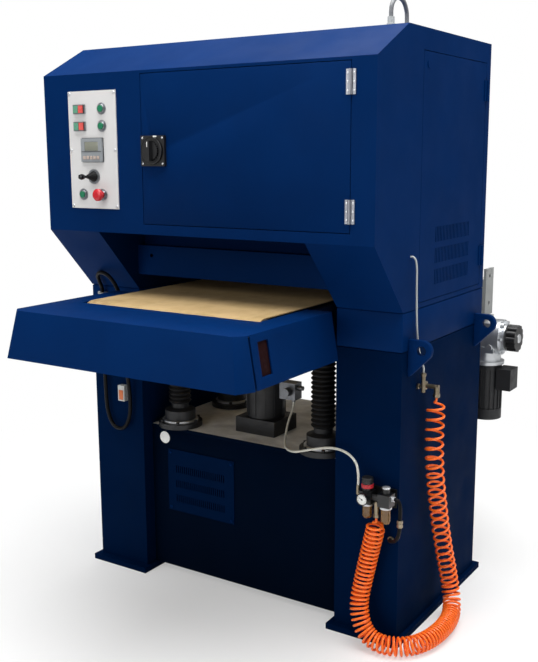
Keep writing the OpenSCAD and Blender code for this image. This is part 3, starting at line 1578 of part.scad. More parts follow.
module coil_hose() {
    base = smooth([for (p = coil_route) beside_right(p)], route_steps);
    pitch = smooth(coil_pitch, route_steps);
    last = len(base) - 1;
    reach = [for (i = 0, s = 0; i <= last; s = i < last ? s + norm(base[i + 1] - base[i]) : s, i = i + 1) s];
    turns = [for (i = 0, w = 0; i <= last;
        w = i < last ? w + norm(base[i + 1] - base[i]) * 2 / (pitch[i] + pitch[i + 1]) : w, i = i + 1) w];
    frame = normals(base, [1, 0, 0]);
    total = turns[last];
    length = reach[last];
    count = round(total * curl_rings);
    middle = [for (j = [0 : count]) let (
            w = total * j / count,
            i = min(last - 1, max([for (m = [0 : last]) if (turns[m] <= w) m])),
            u = (w - turns[i]) / (turns[i + 1] - turns[i]),
            s = reach[i] + u * (reach[i + 1] - reach[i]),
            c = base[i] + u * (base[i + 1] - base[i]),
            t = unit(tangent(base, i) * (1 - u) + tangent(base, i + 1) * u),
            n = square_to(frame[i] * (1 - u) + frame[i + 1] * u, t),
            ends = min(s, length - s),
            grow = ends < coil_in ? 0 : min(1, (ends - coil_in) / coil_r / 0.9),
            ease = grow * grow * (3 - 2 * grow)
        )
        c + coil_r * ease * (cos(360 * w) * n + sin(360 * w) * cross(t, n))];
    gaps = [for (j = [0 : count - 7], k = [j + 5 : min(count, j + 20)]) norm(middle[j] - middle[k])];
    echo(coil_turns = total, hose_gap = min(gaps) - 2 * hose_r, lowest = min([for (m = middle) m[2]]) - hose_r);
    color(orange) placed() sweep(middle, hose_r, hose_sides, [1, 0, 0]);
}

// White air tube from the unit over the base's edge to the valve block.
air_route = [
    [504, 158, 522], [504, 158, 530], [504, 158, 538], [503, 158, 560], [494, 162, 588], [470, 168, 608],
    [436, 174, 618], [398, 180, 618], [358, 190, 608], [318, 196, 596], [276, 200, 582], [236, 210, 570],
    [200, 230, 566], [168, 264, 566], [142, 308, 580], [124, 354, 614], [117, 390, 646], [116, 402, 662],
    [115.8, 405, 671], [115.8, 405, 680]
];
module air_tube() {
    color("#dcdcd2") placed() sweep(smooth([for (p = air_route) over_base(p)], 3), air_tube_r, 8, [0, 1, 0]);
}

// Black cable on the left column, conduit on the roof and the thin tube on the right wall.
cable_route = [
    [-442, 190, 905], [-442, 182, 905], [-442, 173, 905], [-442, 154, 898], [-442, 143, 872], [-442, 148, 830],
    [-442, 165, 750], [-443, 176, 660], [-450, 178, 596], [-472, 178, 554], [-502, 178, 542], [-532, 178, 554],
    [-553, 178, 596], [-560, 177, 660], [-561, 176, 800], [-561, 176, 960], [-561, 176, 1042], [-561, 176, 1062],
    [-558, 160, 1090], [-545, 140, 1114], [-515, 126, 1127], [-480, 122, 1119], [-454, 126, 1092], [-443, 138, 1056],
    [-442, 156, 1035], [-442, 173, 1030], [-442, 182, 1030], [-442, 190, 1030]
];
conduit_route = [
    [528, 279, 1933], [528, 279, 1940], [528, 279, 1949], [528, 284, 1968], [528, 303, 1986], [528, 333, 1992],
    [528, 364, 1984], [528, 384, 1961], [528, 388, 1938], [528, 388, 1926], [528, 388, 1918], [528, 388, 1909.9]
];
side_tube_route = [
    [626, 239, 1235], [630, 239, 1235], [634, 239, 1235], [643, 239, 1226], [646, 242, 1200], [643, 251, 1140],
    [639, 264, 1070], [636, 277, 1010], [637, 290, 950], [643, 306, 902], [646, 312, 884], [646, 312, 876],
    [646, 312, 868]
];
module cables() {
    color(black) placed() {
        sweep(smooth([for (p = cable_route) beside_left(p)], 2), cable_r, 8, [1, 0, 0]);
        translate([half_w - drawn_half_w, 0, body_h - drawn_body_h]) sweep(smooth(conduit_route, 3), conduit_r, 8, [1, 0, 0]);
        sweep(smooth([for (p = side_tube_route) beside_right(p)], 2), side_tube_r, 8, [0, 0, 1]);
    }
}

base_box();
base_top_plate();
vent_cover();
columns();
spacer_blocks();
left_side_wall();
right_side_wall();
front_frame();
roof_panel();
apron();
lifting_lugs();
jack_housings();
screw_bellows();
lift_motor();
head_frame();
main_motor();
drive_belt();
abrasive_belt();
electrics_plate();
control_panel();
display_unit();
switch_bezels();
front_hinge_bases();
air_unit();
air_bowls();
hose_fittings();
valve_block();
cable_fittings();
front_door();
front_hinge_leaves();
isolator_base();
isolator_knob();
side_door();
upper_button();
middle_button();
lower_button();
upper_green_key();
upper_red_key();
lower_green_key();
lower_red_key();
stop_mushroom();
joystick();
table_frame();
front_cover();
side_covers();
conveyor_belt();
lift_screws();
idler_roller();
drive_roller();
drive_bracket();
feed_gearbox();
feed_motor();
speed_handwheel();
contact_drum();
tension_roller();
motor_pulley();
regulator_knob();
coil_hose();
air_tube();
cables();
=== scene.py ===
"""Looks of a wide-belt surface grinding machine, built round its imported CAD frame.

Objects stand in the row frame in metres. Sizes and places in the classes are in millimetres,
measured as in the part's source: x from the middle of the machine, y from the cabinet's front
face towards the back, z from the floor.
"""

import logging
import math
from collections.abc import Sequence
from dataclasses import KW_ONLY, dataclass
from enum import Enum
from typing import Any

import bpy
from mathutils import Matrix, Vector


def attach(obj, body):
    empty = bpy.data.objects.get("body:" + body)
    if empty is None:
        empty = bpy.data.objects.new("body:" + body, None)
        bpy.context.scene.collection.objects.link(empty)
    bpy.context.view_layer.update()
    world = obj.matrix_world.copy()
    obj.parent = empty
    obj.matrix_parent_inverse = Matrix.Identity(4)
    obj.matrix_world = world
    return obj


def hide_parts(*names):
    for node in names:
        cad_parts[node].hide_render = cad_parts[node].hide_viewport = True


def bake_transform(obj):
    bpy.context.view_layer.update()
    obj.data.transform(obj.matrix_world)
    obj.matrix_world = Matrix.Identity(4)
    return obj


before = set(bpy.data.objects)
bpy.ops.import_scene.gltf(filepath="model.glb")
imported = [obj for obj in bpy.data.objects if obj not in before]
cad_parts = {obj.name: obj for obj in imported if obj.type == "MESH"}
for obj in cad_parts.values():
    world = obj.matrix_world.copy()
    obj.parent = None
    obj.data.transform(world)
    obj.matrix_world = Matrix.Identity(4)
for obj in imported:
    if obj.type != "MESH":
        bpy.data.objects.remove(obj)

log = logging.getLogger("surface_grinder")
Point = tuple[float, float, float]
Spot = tuple[float, float]
Tree = bpy.types.NodeTree
Socket = bpy.types.NodeSocket
Piece = bpy.types.Object

# Metres in a millimetre
MM = 0.001
# The row frame's origin lies this far behind the cabinet's front face
FRONT_Y = 414.0
# Faces that meet at a smaller angle than this are shaded smooth
SMOOTH_ANGLE = math.radians(35)
# Inputs and output of a mix node that carry colours
COLOUR_A, COLOUR_B, COLOUR_OUT = 6, 7, 2


class Axis(Enum):
    """The way that a turned piece's axis points, as quarter turns about x and about y."""

    X = (0, 1)
    Y_FRONT = (1, 0)
    Z = (0, 0)
    Z_DOWN = (2, 0)

    def matrix(self) -> Matrix:
        """The rotation that brings the z axis there."""
        about_x, about_y = (Matrix.Rotation(n * math.pi / 2, 4, letter) for n, letter in zip(self.value, "XY"))
        return about_x @ about_y


def place(x: float, y: float, z: float) -> Vector:
    """A point of the machine in the row frame.

    Args:
        x: Millimetres to the right of the middle.
        y: Millimetres behind the cabinet's front face.
        z: Millimetres above the floor.

    Returns:
        The point in metres.
    """
    return Vector((x, y - FRONT_Y, z)) * MM


def linear(hex_colour: str) -> tuple[float, float, float, float]:
    """Turns an sRGB hex colour into the linear values that shaders take.

    Args:
        hex_colour: Colour such as "#00275A".

    Returns:
        Linear red, green and blue, and full opacity.
    """
    parts = [int(hex_colour[i : i + 2], 16) / 255 for i in (1, 3, 5)]
    r, g, b = (c / 12.92 if c <= 0.04045 else ((c + 0.055) / 1.055) ** 2.4 for c in parts)
    return (r, g, b, 1.0)


def add_node(
    tree: Tree, kind: str, settings: dict[Any, Any] | None = None, links: dict[Any, Any] | None = None
) -> bpy.types.Node:
    """Adds a node to a tree.

    Args:
        tree: The node tree.
        kind: The node's type.
        settings: Values by property name, or by input name or number.
        links: Output sockets by the input that they feed.

    Returns:
        The new node.
    """
    made = tree.nodes.new(kind)
    for key, value in (settings or {}).items():
        if isinstance(key, str) and hasattr(made, key):
            setattr(made, key, value)
        else:
            made.inputs[key].default_value = value
    for key, socket in (links or {}).items():
        tree.links.new(socket, made.inputs[key])
    return made


def noise(tree: Tree, where: Socket, scale: float, detail: float, rough: float = 0.5) -> Socket:
    """Adds a noise pattern.

    Args:
        tree: The node tree.
        where: Coordinates.
        scale: Waves in a metre.
        detail: Number of finer layers.
        rough: Strength of the finer layers.

    Returns:
        The socket that carries the pattern.
    """
    settings = {"Scale": scale, "Detail": detail, "Roughness": rough}
    return add_node(tree, "ShaderNodeTexNoise", settings, {"Vector": where}).outputs["Fac"]


def ramp(tree: Tree, value: Socket, given: Spot, wanted: Spot = (0.0, 1.0)) -> Socket:
    """Maps one range of values to another, and holds it at both ends.

    Args:
        tree: The node tree.
        value: The value.
        given: Ends of the range that comes in.
        wanted: What they turn into.

    Returns:
        The socket that carries the result.
    """
    settings = {"From Min": given[0], "From Max": given[1], "To Min": wanted[0], "To Max": wanted[1]}
    return add_node(tree, "ShaderNodeMapRange", settings, {"Value": value}).outputs[0]


def tint(tree: Tree, amount: Socket, under: Socket | str, over: str) -> Socket:
    """Lays one colour over another.

    Args:
        tree: The node tree.
        amount: How much of the upper colour shows.
        under: The lower colour, as a socket or as sRGB hex.
        over: The upper colour as sRGB hex.

    Returns:
        The socket that carries the colour.
    """
    made = add_node(tree, "ShaderNodeMix", {"data_type": "RGBA", COLOUR_B: linear(over)}, {0: amount})
    if isinstance(under, str):
        made.inputs[COLOUR_A].default_value = linear(under)
    else:
        tree.links.new(under, made.inputs[COLOUR_A])
    return made.outputs[COLOUR_OUT]


@dataclass(frozen=True)
class Finish:
    """What every surface has: a colour that varies a little, and a fine relief.

    Attributes:
        name: The material's name.
        colour: Main colour as sRGB hex.
        second: Colour that the variation leans to.
        rough: Roughness.
        patch_mm: Size of the patches of colour variation.
        share: How much of the second colour shows.
        grain_mm: Size of the relief's grain.
        relief: Strength of the relief.
        metal: 1 for bare metal.
        stretch: Scale of the relief along x, y and z, for brushed and ground surfaces.
        settings: Further values of the shader.
    """

    name: str
    colour: str
    second: str
    rough: float
    patch_mm: float = 20.0
    share: float = 0.3
    grain_mm: float = 1.0
    relief: float = 0.05
    metal: float = 0.0
    stretch: Point = (1.0, 1.0, 1.0)
    settings: tuple[tuple[str, float], ...] = ()

    def colour_socket(self, tree: Tree, where: Socket) -> Socket:
        """Makes the colour.

        Args:
            tree: The node tree.
            where: Object coordinates.

        Returns:
            The socket that carries the colour.
        """
        patch = noise(tree, where, 1 / (self.patch_mm * MM), 5.0, 0.6)
        return tint(tree, ramp(tree, patch, (0.42, 0.72), (0.0, self.share)), self.colour, self.second)

    def build(self) -> bpy.types.Material:
        """Makes the material, or returns it if it is made already.

        Returns:
            The material.
        """
        known = bpy.data.materials.get(self.name)
        if known:
            return known
        made = bpy.data.materials.new(self.name)
        made.use_nodes = True
        tree = made.node_tree
        shader = tree.nodes["Principled BSDF"]
        where = add_node(tree, "ShaderNodeTexCoord").outputs["Object"]
        tree.links.new(self.colour_socket(tree, where), shader.inputs["Base Color"])
        shader.inputs["Metallic"].default_value = self.metal
        for key, value in self.settings:
            shader.inputs[key].default_value = value
        self.add_relief(tree, where, shader)
        return made

    def add_relief(self, tree: Tree, where: Socket, shader: bpy.types.Node) -> None:
        """Adds the fine relief, and a roughness that varies from place to place.

        Args:
            tree: The node tree.
            where: Object coordinates.
            shader: The main shader.
        """
        stretched = add_node(tree, "ShaderNodeMapping", {"Scale": self.stretch}, {"Vector": where}).outputs[0]
        grain = noise(tree, stretched, 1 / (self.grain_mm * MM), 2.0)
        bump = add_node(tree, "ShaderNodeBump", {"Strength": self.relief, "Distance": MM}, {"Height": grain})
        tree.links.new(bump.outputs[0], shader.inputs["Normal"])
        smear = noise(tree, where, 1 / (self.patch_mm * 0.6 * MM), 4.0)
        rough = ramp(tree, smear, (0.3, 0.75), (self.rough * 0.85, min(1.0, self.rough * 1.25)))
        tree.links.new(rough, shader.inputs["Roughness"])


@dataclass(frozen=True)
class ShopPaint(Finish):
    """Sprayed machine paint on sheet steel: slight orange peel, and dust that gathers towards the floor.

    Attributes:
        dust: How dusty the paint is at the floor.
        dust_top_mm: Height at which the dust ends.
        dust_colour: Colour of the dust as sRGB hex.
    """

    dust: float = 0.0
    dust_top_mm: float = 500.0
    dust_colour: str = "#4A4F5A"

    def colour_socket(self, tree: Tree, where: Socket) -> Socket:
        """Lays a little grey dust over the paint's lower part.

        Args:
            tree: The node tree.
            where: Object coordinates.

        Returns:
            The socket that carries the colour.
        """
        base = Finish.colour_socket(self, tree, where)
        height = add_node(tree, "ShaderNodeSeparateXYZ", links={"Vector": where}).outputs["Z"]
        settled = ramp(tree, height, (0.0, self.dust_top_mm * MM), (self.dust, 0.0))
        speck = noise(tree, where, 60.0, 8.0, 0.7)
        amount = add_node(tree, "ShaderNodeMath", {"operation": "MULTIPLY"}, {0: settled, 1: speck})
        return tint(tree, amount.outputs[0], base, self.dust_colour)


@dataclass(frozen=True)
class ConveyorCloth(Finish):
    """Conveyor belting, with long rubbed tracks along its run and a few stains.

    Attributes:
        rubbed: Colour of the tracks as sRGB hex.
        stain: Colour of the stains as sRGB hex.
    """

    rubbed: str = "#BFA579"
    stain: str = "#5E4524"

    def colour_socket(self, tree: Tree, where: Socket) -> Socket:
        """Draws the rubbed tracks and the stains.

        Args:
            tree: The node tree.
            where: Object coordinates.

        Returns:
            The socket that carries the colour.
        """
        base = Finish.colour_socket(self, tree, where)
        along = add_node(tree, "ShaderNodeMapping", {"Scale": (1.0, 0.12, 1.0)}, {"Vector": where}).outputs[0]
        tracks = ramp(tree, noise(tree, along, 18.0, 6.0, 0.65), (0.5, 0.75), (0.0, 0.55))
        stains = ramp(tree, noise(tree, where, 7.0, 9.0, 0.7), (0.56, 0.75), (0.0, 0.6))
        return tint(tree, stains, tint(tree, tracks, base, self.rubbed), self.stain)


def specular(level: float) -> tuple[tuple[str, float], ...]:
    """The setting that dulls a finish without making it rougher."""
    return (("Specular IOR Level", level),)


# Two-pack enamel sprayed on sheet steel: deep navy, smooth, with a soft shine
NAVY = ShopPaint("navy_enamel", "#002454", "#001E49", 0.56, 260.0, 0.5, 2.2, 0.06, settings=specular(0.03))
# The same enamel on the columns and the vent cover, darkened as painted shade, with hardly any shine
NAVY_PAINTED_SHADE = ShopPaint("navy_enamel_painted_shade", "#001636", "#00112C", 0.6, 220.0, 0.5, 2.2, 0.08, settings=specular(0.01))
# The same enamel on the welded base, darkened near black as painted deep shade, with a trace of dust at the floor
NAVY_PAINTED_DEEP_SHADE = ShopPaint(
    "navy_enamel_painted_deep_shade", "#000B1E", "#000918", 0.6, 220.0, 0.5, 2.2, 0.08, settings=specular(0.01), dust=0.02
)
# Frame paint on the table's rails and the head: blue-black, satin
FRAME_PAINT = ShopPaint("dark_frame_paint", "#041026", "#020A1C", 0.5, 120.0, 0.5, 2.0, 0.08, settings=specular(0.1))
# Powder coat on the electrics' plate and the drive's bracket: light grey and even
GREY_COAT = Finish("grey_powder_coat", "#9A9C9B", "#888A88", 0.5, 90.0, 0.4, 1.2, 0.1)
# Floor paint on the base's top plate: pale grey, scuffed in patches, and lightened as painted light for the light that
# reaches it under the table
TOP_PLATE_PAINTED_LIGHT = Finish("grey_floor_paint_painted_light", "#E4E6E6", "#B2B3B1", 0.5, 80.0, 0.8, 2.0, 0.12)
# Motor enamel: blue-grey, satin
MOTOR_PAINT = Finish("grey_motor_enamel", "#4B5666", "#3F4957", 0.4, 60.0, 0.4, 2.0, 0.12)
# Black paint on cast iron: dull, with the sand's grain showing through
BLACK_IRON = Finish("black_painted_iron", "#17181B", "#24262A", 0.55, 40.0, 0.5, 3.0, 0.35)
# Stove enamel on a die-cast body: black, satin
BLACK_DIECAST = Finish("black_diecast_body", "#0D0E10", "#15171A", 0.36, 20.0, 0.4, 1.2, 0.12)
# White enamel of dial, disc and marks: clean and bright
WHITE_ENAMEL = Finish("white_enamel", "#F2F2EE", "#E4E4E0", 0.3, 30.0, relief=0.02)
# Ground or turned steel: bright, with fine marks along x
BRIGHT_STEEL = Finish("ground_steel", "#B9BCC0", "#9A9DA2", 0.28, 60.0, 0.4, 1.5, 0.05, 1.0, (1.0, 0.1, 0.1))
# Sand-cast aluminium, blasted: pale, with soft highlights and a coarse grain
CAST_ALUMINIUM = Finish("cast_aluminium", "#B4B7BB", "#8D9094", 0.42, 25.0, 0.5, 1.6, 0.3, 1.0)
# Zinc casting of the valve block: dark grey metal
ZINC_CASTING = Finish("zinc_casting", "#7E8084", "#5E6064", 0.45, 18.0, 0.5, 1.4, 0.2, 1.0)
# Brass under thin nickel: dull, between gold and grey
BRASS = Finish("nickelled_brass", "#8E8370", "#6F6550", 0.34, 15.0, 0.5, metal=1.0)
# Satin chrome of the button rings: a blurred mirror
SATIN_CHROME = Finish("satin_chrome", "#9A9DA2", "#85888D", 0.36, 20.0, 0.4, 1.2, metal=1.0)
# Zinc plate of the hinges: bluish grey metal
ZINC = Finish("zinc_plate", "#A9ABB2", "#94969D", 0.42, 25.0, 0.5, 1.4, 0.08, 1.0)
# Satin anodised panel: off-white and even
PANEL = Finish("satin_anodised_panel", "#D6D5D4", "#CBCAC9", 0.45, 140.0, 0.4, 0.8, 0.04)
# Moulded ABS: grey on the display's case, black on knobs and trim
GREY_ABS = Finish("grey_abs", "#8F9498", "#83888C", 0.45, 50.0, 0.3, 0.8, 0.1)
BLACK_ABS = Finish("black_abs", "#151517", "#202124", 0.38, 40.0, 0.4, 0.9, 0.15)
# Gloss black moulding: sharp highlights on rims and ribs
GLOSS_BLACK = Finish("gloss_black_moulding", "#0D0D0F", "#16161A", 0.16, 30.0, 0.3, 1.2, 0.02)
# Polycarbonate of the round buttons and the emergency stop: clear green and red, glossy
GREEN_CAP = Finish("green_polycarbonate", "#1F7A56", "#186848", 0.25, relief=0.03)
RED_CAP = Finish("red_polycarbonate", "#C8202C", "#A81822", 0.25, relief=0.03)
# Key caps: washed-out green, red and beige, satin
KEY_GREEN = Finish("pale_green_key", "#5E9A80", "#528C73", 0.3, relief=0.03)
KEY_RED = Finish("pale_red_key", "#DC5A54", "#CC4C47", 0.3, relief=0.03)
KEY_BEIGE = Finish("beige_keys", "#B9A79C", "#A99588", 0.4, relief=0.03)
# Liquid-crystal glass: olive grey, as smooth as a mirror
LCD_GLASS = Finish("lcd_glass", "#85877A", "#787A6E", 0.08, 30.0, relief=0.0)
# Nylon: pale grey and waxy on glands and thin tube, red on the regulator's ring, milky on the air tube
PALE_NYLON = Finish("grey_nylon", "#B9BCBA", "#A5A8A6", 0.4)
RED_RING = Finish("red_nylon", "#B5202A", "#96161F", 0.4, 10.0)
WHITE_NYLON = Finish("white_nylon_tube", "#D8D8CE", "#C6C4B4", 0.35, 60.0, 0.5, 2.0, 0.03)
# Front of the socket box: faded orange plastic
SOCKET_ORANGE = Finish("orange_socket_front", "#C96A3A", "#A9542C", 0.4, 10.0, 0.4)
# PVC: mid grey on the conduit, black and almost without shine on cable and hose
CONDUIT = Finish("grey_pvc_conduit", "#77797C", "#65676A", 0.4, 20.0, 0.4, 2.0, 0.06)
CABLE = Finish("black_pvc_cable", "#08080A", "#101013", 0.45, 30.0, 0.4, 2.0, settings=specular(0.12))
# Polyurethane hose: clear glossy orange that lets light a little way in
HOSE_PU = Finish(
    "orange_polyurethane", "#FF7420", "#F46214", 0.28, 40.0, 0.4, 2.0, 0.02,
    settings=(("Subsurface Weight", 0.12), ("Subsurface Scale", 0.004)),
)
# Amber polycarbonate of the bowls: brown and see-through
AMBER = Finish(
    "amber_polycarbonate", "#A8782E", "#8E6220", 0.12, 20.0, 0.3, 2.0, 0.02,
    settings=(("Transmission Weight", 0.7), ("IOR", 1.58)),
)
# Moulded rubber of bellows and boot: black, nearly matt
RUBBER = Finish("black_rubber", "#0D0D0F", "#16171A", 0.6, 30.0, 0.5, 1.5, 0.15, settings=specular(0.3))
# Ground rubber of the contact drum: charcoal, matt
DRUM_RUBBER = Finish("drum_rubber", "#2B2B2D", "#39393B", 0.7, 40.0, 0.5, 1.5, 0.2)
# Plastic guard behind the cover's windows: dark red-brown, matt
BROWN_GUARD = Finish("dark_brown_guard", "#1E0507", "#140304", 0.7, 20.0, 0.4, 1.5, 0.2, settings=specular(0.1))
# Woven polyester belting with a rough cover: tan, matt, rubbed paler in tracks
BELTING = ConveyorCloth("conveyor_belting", "#B4986A", "#99804F", 0.8, 90.0, 0.7, 2.5, 0.5)
# Abrasive cloth: brown and gritty, without shine
ABRASIVE = Finish("abrasive_cloth", "#7A4A2C", "#5C341D", 0.85, 20.0, 0.5, 0.6, 0.6)

CAD_FINISHES: dict[Finish, str] = {
    NAVY: "left_side_wall right_side_wall front_frame roof_panel apron front_door side_door front_cover "
    "side_covers spacer_blocks lifting_lugs",
    # Columns and vent cover: the navy darkened as painted shade
    NAVY_PAINTED_SHADE: "vent_cover columns",
    # Welded base: the navy darkened further as painted deep shade
    NAVY_PAINTED_DEEP_SHADE: "base_box",
    FRAME_PAINT: "table_frame head_frame",
    TOP_PLATE_PAINTED_LIGHT: "base_top_plate",
    BLACK_IRON: "jack_housings lift_motor feed_motor",
    RUBBER: "screw_bellows drive_belt joystick",
    MOTOR_PAINT: "main_motor",
    ABRASIVE: "abrasive_belt",
    GREY_COAT: "electrics_plate drive_bracket",
    PANEL: "control_panel",
    GREY_ABS: "display_unit",
    SATIN_CHROME: "switch_bezels",
    ZINC: "front_hinge_bases front_hinge_leaves",
    CAST_ALUMINIUM: "feed_gearbox",
    ZINC_CASTING: "valve_block",
    BLACK_DIECAST: "air_unit",
    AMBER: "air_bowls",
    BRASS: "hose_fittings",
    PALE_NYLON: "cable_fittings",
    BLACK_ABS: "isolator_base isolator_knob speed_handwheel regulator_knob",
    GREEN_CAP: "upper_button middle_button lower_button",
    KEY_GREEN: "upper_green_key lower_green_key",
    KEY_RED: "upper_red_key lower_red_key",
    RED_CAP: "stop_mushroom",
    BELTING: "conveyor_belt",
    BRIGHT_STEEL: "lift_screws idler_roller drive_roller tension_roller motor_pulley",
    DRUM_RUBBER: "contact_drum",
    HOSE_PU: "coil_hose",
    WHITE_NYLON: "air_tube",
    CABLE: "cables",
}


def dress_cad_nodes() -> None:
    """Gives every CAD node its finish."""
    for finish, names in CAD_FINISHES.items():
        material = finish.build()
        for name in names.split():
            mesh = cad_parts[name].data
            mesh.materials.clear()
            mesh.materials.append(material)


def clear_selection() -> None:
    """Leaves edit mode and deselects everything."""
    if bpy.context.object and bpy.context.object.mode != "OBJECT":
        bpy.ops.object.mode_set(mode="OBJECT")
    bpy.ops.object.select_all(action="DESELECT")


def pick(piece: Piece) -> None:
    """Selects one piece alone and makes it the active one.

    Args:
        piece: The object.
    """
    clear_selection()
    piece.select_set(True)
    bpy.context.view_layer.objects.active = piece


def finish_piece(piece: Piece, name: str, body: str, finish: Finish, smooth: bool = True) -> Piece:
    """Settles a piece at the origin, dresses it and lets it ride.

    Args:
        piece: The modelled object.
        name: Its name.
        body: The CAD body that it moves with.
        finish: Its finish.
        smooth: Whether faces that meet at a small angle are shaded smooth.

    Returns:
        The piece.
    """
    pick(piece)
    piece.name = piece.data.name = name
    bpy.ops.object.transform_apply(location=True, rotation=True, scale=True)
    if smooth:
        bpy.ops.object.shade_smooth_by_angle(angle=SMOOTH_ANGLE)
    piece.data.materials.clear()
    piece.data.materials.append(finish.build())
    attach(piece, body)
    log.info("%s rides on %s", name, body)
    return piece


def join(pieces: Sequence[Piece]) -> Piece:
    """Joins several meshes into the first of them.

    Args:
        pieces: The objects.

    Returns:
        The joined object.
    """
    pick(pieces[0])
    for piece in pieces[1:]:
        piece.select_set(True)
    if len(pieces) > 1:
        bpy.ops.object.join()
    return pieces[0]


def twin(source: Piece) -> Piece:
    """Copies a piece with a mesh of its own.

    Args:
        source: The object.

    Returns:
        The copy.
    """
    made = source.copy()
    made.data = source.data.copy()
    bpy.context.collection.objects.link(made)
    return made


@dataclass(frozen=True)
class Lamp:
    """A soft round lamp.

    Attributes:
        name: Its name.
        where: Its middle in millimetres.
        aim: The point that it faces.
        size: Its diameter in metres.
        power: Its power in watts.
    """

    name: str
    where: Point
    aim: Point
    size: float
    power: float

    def build(self) -> None:
        """Hangs the lamp."""
        data = bpy.data.lights.new(self.name, "AREA")
        data.shape = "DISK"
        data.size = self.size
        data.energy = self.power
        made = bpy.data.objects.new(self.name, data)
        start, end = place(*self.where), place(*self.aim)
        turn = (end - start).to_track_quat("-Z", "Y").to_matrix().to_4x4()
        made.matrix_world = Matrix.Translation(start) @ turn
        bpy.context.collection.objects.link(made)


@dataclass(frozen=True)
class Stage:
    """Camera, floor, lamps and world.

    Attributes:
        eye: The camera's place in millimetres.
        yaw: How far the camera looks to the left, in degrees.
        pitch: How far it looks down.
        roll: How far it leans.
        focal_px: Its focal length in pixels of the picture.
        photo_w: The picture's width in pixels.
        sensor: The sensor's width in millimetres.
        far: The camera's reach in metres.
        floor_size: Side of the floor in metres.
        floor_drop: How far the floor lies under the feet, in metres.
        fade: Distances from the middle in metres between which the floor turns white to the camera.
        least_white: How white the floor is to the camera under the machine.
        world_light: Strength of the world as a light.
    """

    eye: Point = (1800.5, -2342.6, 1540.1)
    yaw: float = 33.04
    pitch: float = 10.67
    roll: float = 0.257
    focal_px: float = 943.3
    photo_w: int = 538
    sensor: float = 36.0
    far: float = 60.0
    floor_size: float = 40.0
    floor_drop: float = 0.0005
    fade: Spot = (1.0, 2.4)
    least_white: float = 0.35
    world_light: float = 0.27
    lamps: tuple[Lamp, ...] = (
        Lamp("overhead", (300.0, 300.0, 4300.0), (0.0, 400.0, 1000.0), 4.5, 320.0),
        Lamp("front", (-900.0, -4200.0, 2600.0), (0.0, 400.0, 1200.0), 3.0, 58.0),
        Lamp("beside", (4400.0, 300.0, 3100.0), (0.0, 400.0, 1300.0), 3.0, 30.0),
    )

    def build(self) -> None:
        """Sets the stage up."""
        self.add_camera()
        self.add_floor()
        for lamp in self.lamps:
            lamp.build()
        self.add_world()

    def add_camera(self) -> None:
        """Stands the camera at the photograph's viewpoint."""
        yaw, pitch, roll = (math.radians(a) for a in (self.yaw, self.pitch, self.roll))
        ahead = Vector((-math.sin(yaw) * math.cos(pitch), math.cos(yaw) * math.cos(pitch), -math.sin(pitch)))
        right = Vector((math.cos(yaw), math.sin(yaw), 0.0))
        down = ahead.cross(right)
        side = math.cos(roll) * right + math.sin(roll) * down
        below = -math.sin(roll) * right + math.cos(roll) * down
        turn = Matrix((side, -below, -ahead)).transposed().to_4x4()
        lens = bpy.data.cameras.new("camera")
        lens.sensor_fit = "HORIZONTAL"
        lens.sensor_width = self.sensor
        lens.lens = self.sensor * self.focal_px / self.photo_w
        lens.clip_end = self.far
        made = bpy.data.objects.new("camera", lens)
        made.matrix_world = Matrix.Translation(place(*self.eye)) @ turn
        bpy.context.collection.objects.link(made)
        bpy.context.scene.camera = made

    def add_floor(self) -> None:
        """Lays a pale floor that is white to the camera and still takes the shadow."""
        clear_selection()
        bpy.ops.mesh.primitive_plane_add(size=self.floor_size, location=(0, 0, -self.floor_drop))
        floor = bpy.context.object
        floor.name = "floor"
        made = bpy.data.materials.new("pale_floor")
        made.use_nodes = True
        tree = made.node_tree
        shader = tree.nodes["Principled BSDF"]
        shader.inputs["Base Color"].default_value = linear("#F2F2F2")
        shader.inputs["Roughness"].default_value = 0.9
        where = add_node(tree, "ShaderNodeTexCoord").outputs["Object"]
        reach = add_node(tree, "ShaderNodeVectorMath", {"operation": "LENGTH"}, {0: where}).outputs["Value"]
        far = ramp(tree, reach, self.fade, (self.least_white, 1.0))
        seen = add_node(tree, "ShaderNodeLightPath").outputs["Is Camera Ray"]
        amount = add_node(tree, "ShaderNodeMath", {"operation": "MULTIPLY"}, {0: far, 1: seen})
        white = add_node(tree, "ShaderNodeEmission", {"Color": linear("#FFFFFF"), "Strength": 1.0})
        parts = {0: amount.outputs[0], 1: shader.outputs[0], 2: white.outputs[0]}
        blend = add_node(tree, "ShaderNodeMixShader", links=parts)
        tree.links.new(blend.outputs[0], tree.nodes["Material Output"].inputs["Surface"])
        floor.data.materials.append(made)

    def add_world(self) -> None:
        """Makes the world white to the camera and through clear pieces, and dimmer as a light."""
        world = bpy.data.worlds.new("studio")
        bpy.context.scene.world = world
        world.use_nodes = True
        tree = world.node_tree
        tree.nodes.clear()
        rays = add_node(tree, "ShaderNodeLightPath")
        straight = {0: rays.outputs["Is Camera Ray"], 1: rays.outputs["Is Transmission Ray"]}
        seen = add_node(tree, "ShaderNodeMath", {"operation": "MAXIMUM"}, straight)
        light, backdrop = (
            add_node(tree, "ShaderNodeBackground", {"Color": linear("#FFFFFF"), "Strength": strength})
            for strength in (self.world_light, 1.0)
        )
        parts = {0: seen.outputs[0], 1: light.outputs[0], 2: backdrop.outputs[0]}
        mix = add_node(tree, "ShaderNodeMixShader", links=parts)
        add_node(tree, "ShaderNodeOutputWorld", links={"Surface": mix.outputs[0]})
        bpy.context.scene.view_settings.view_transform = "Standard"


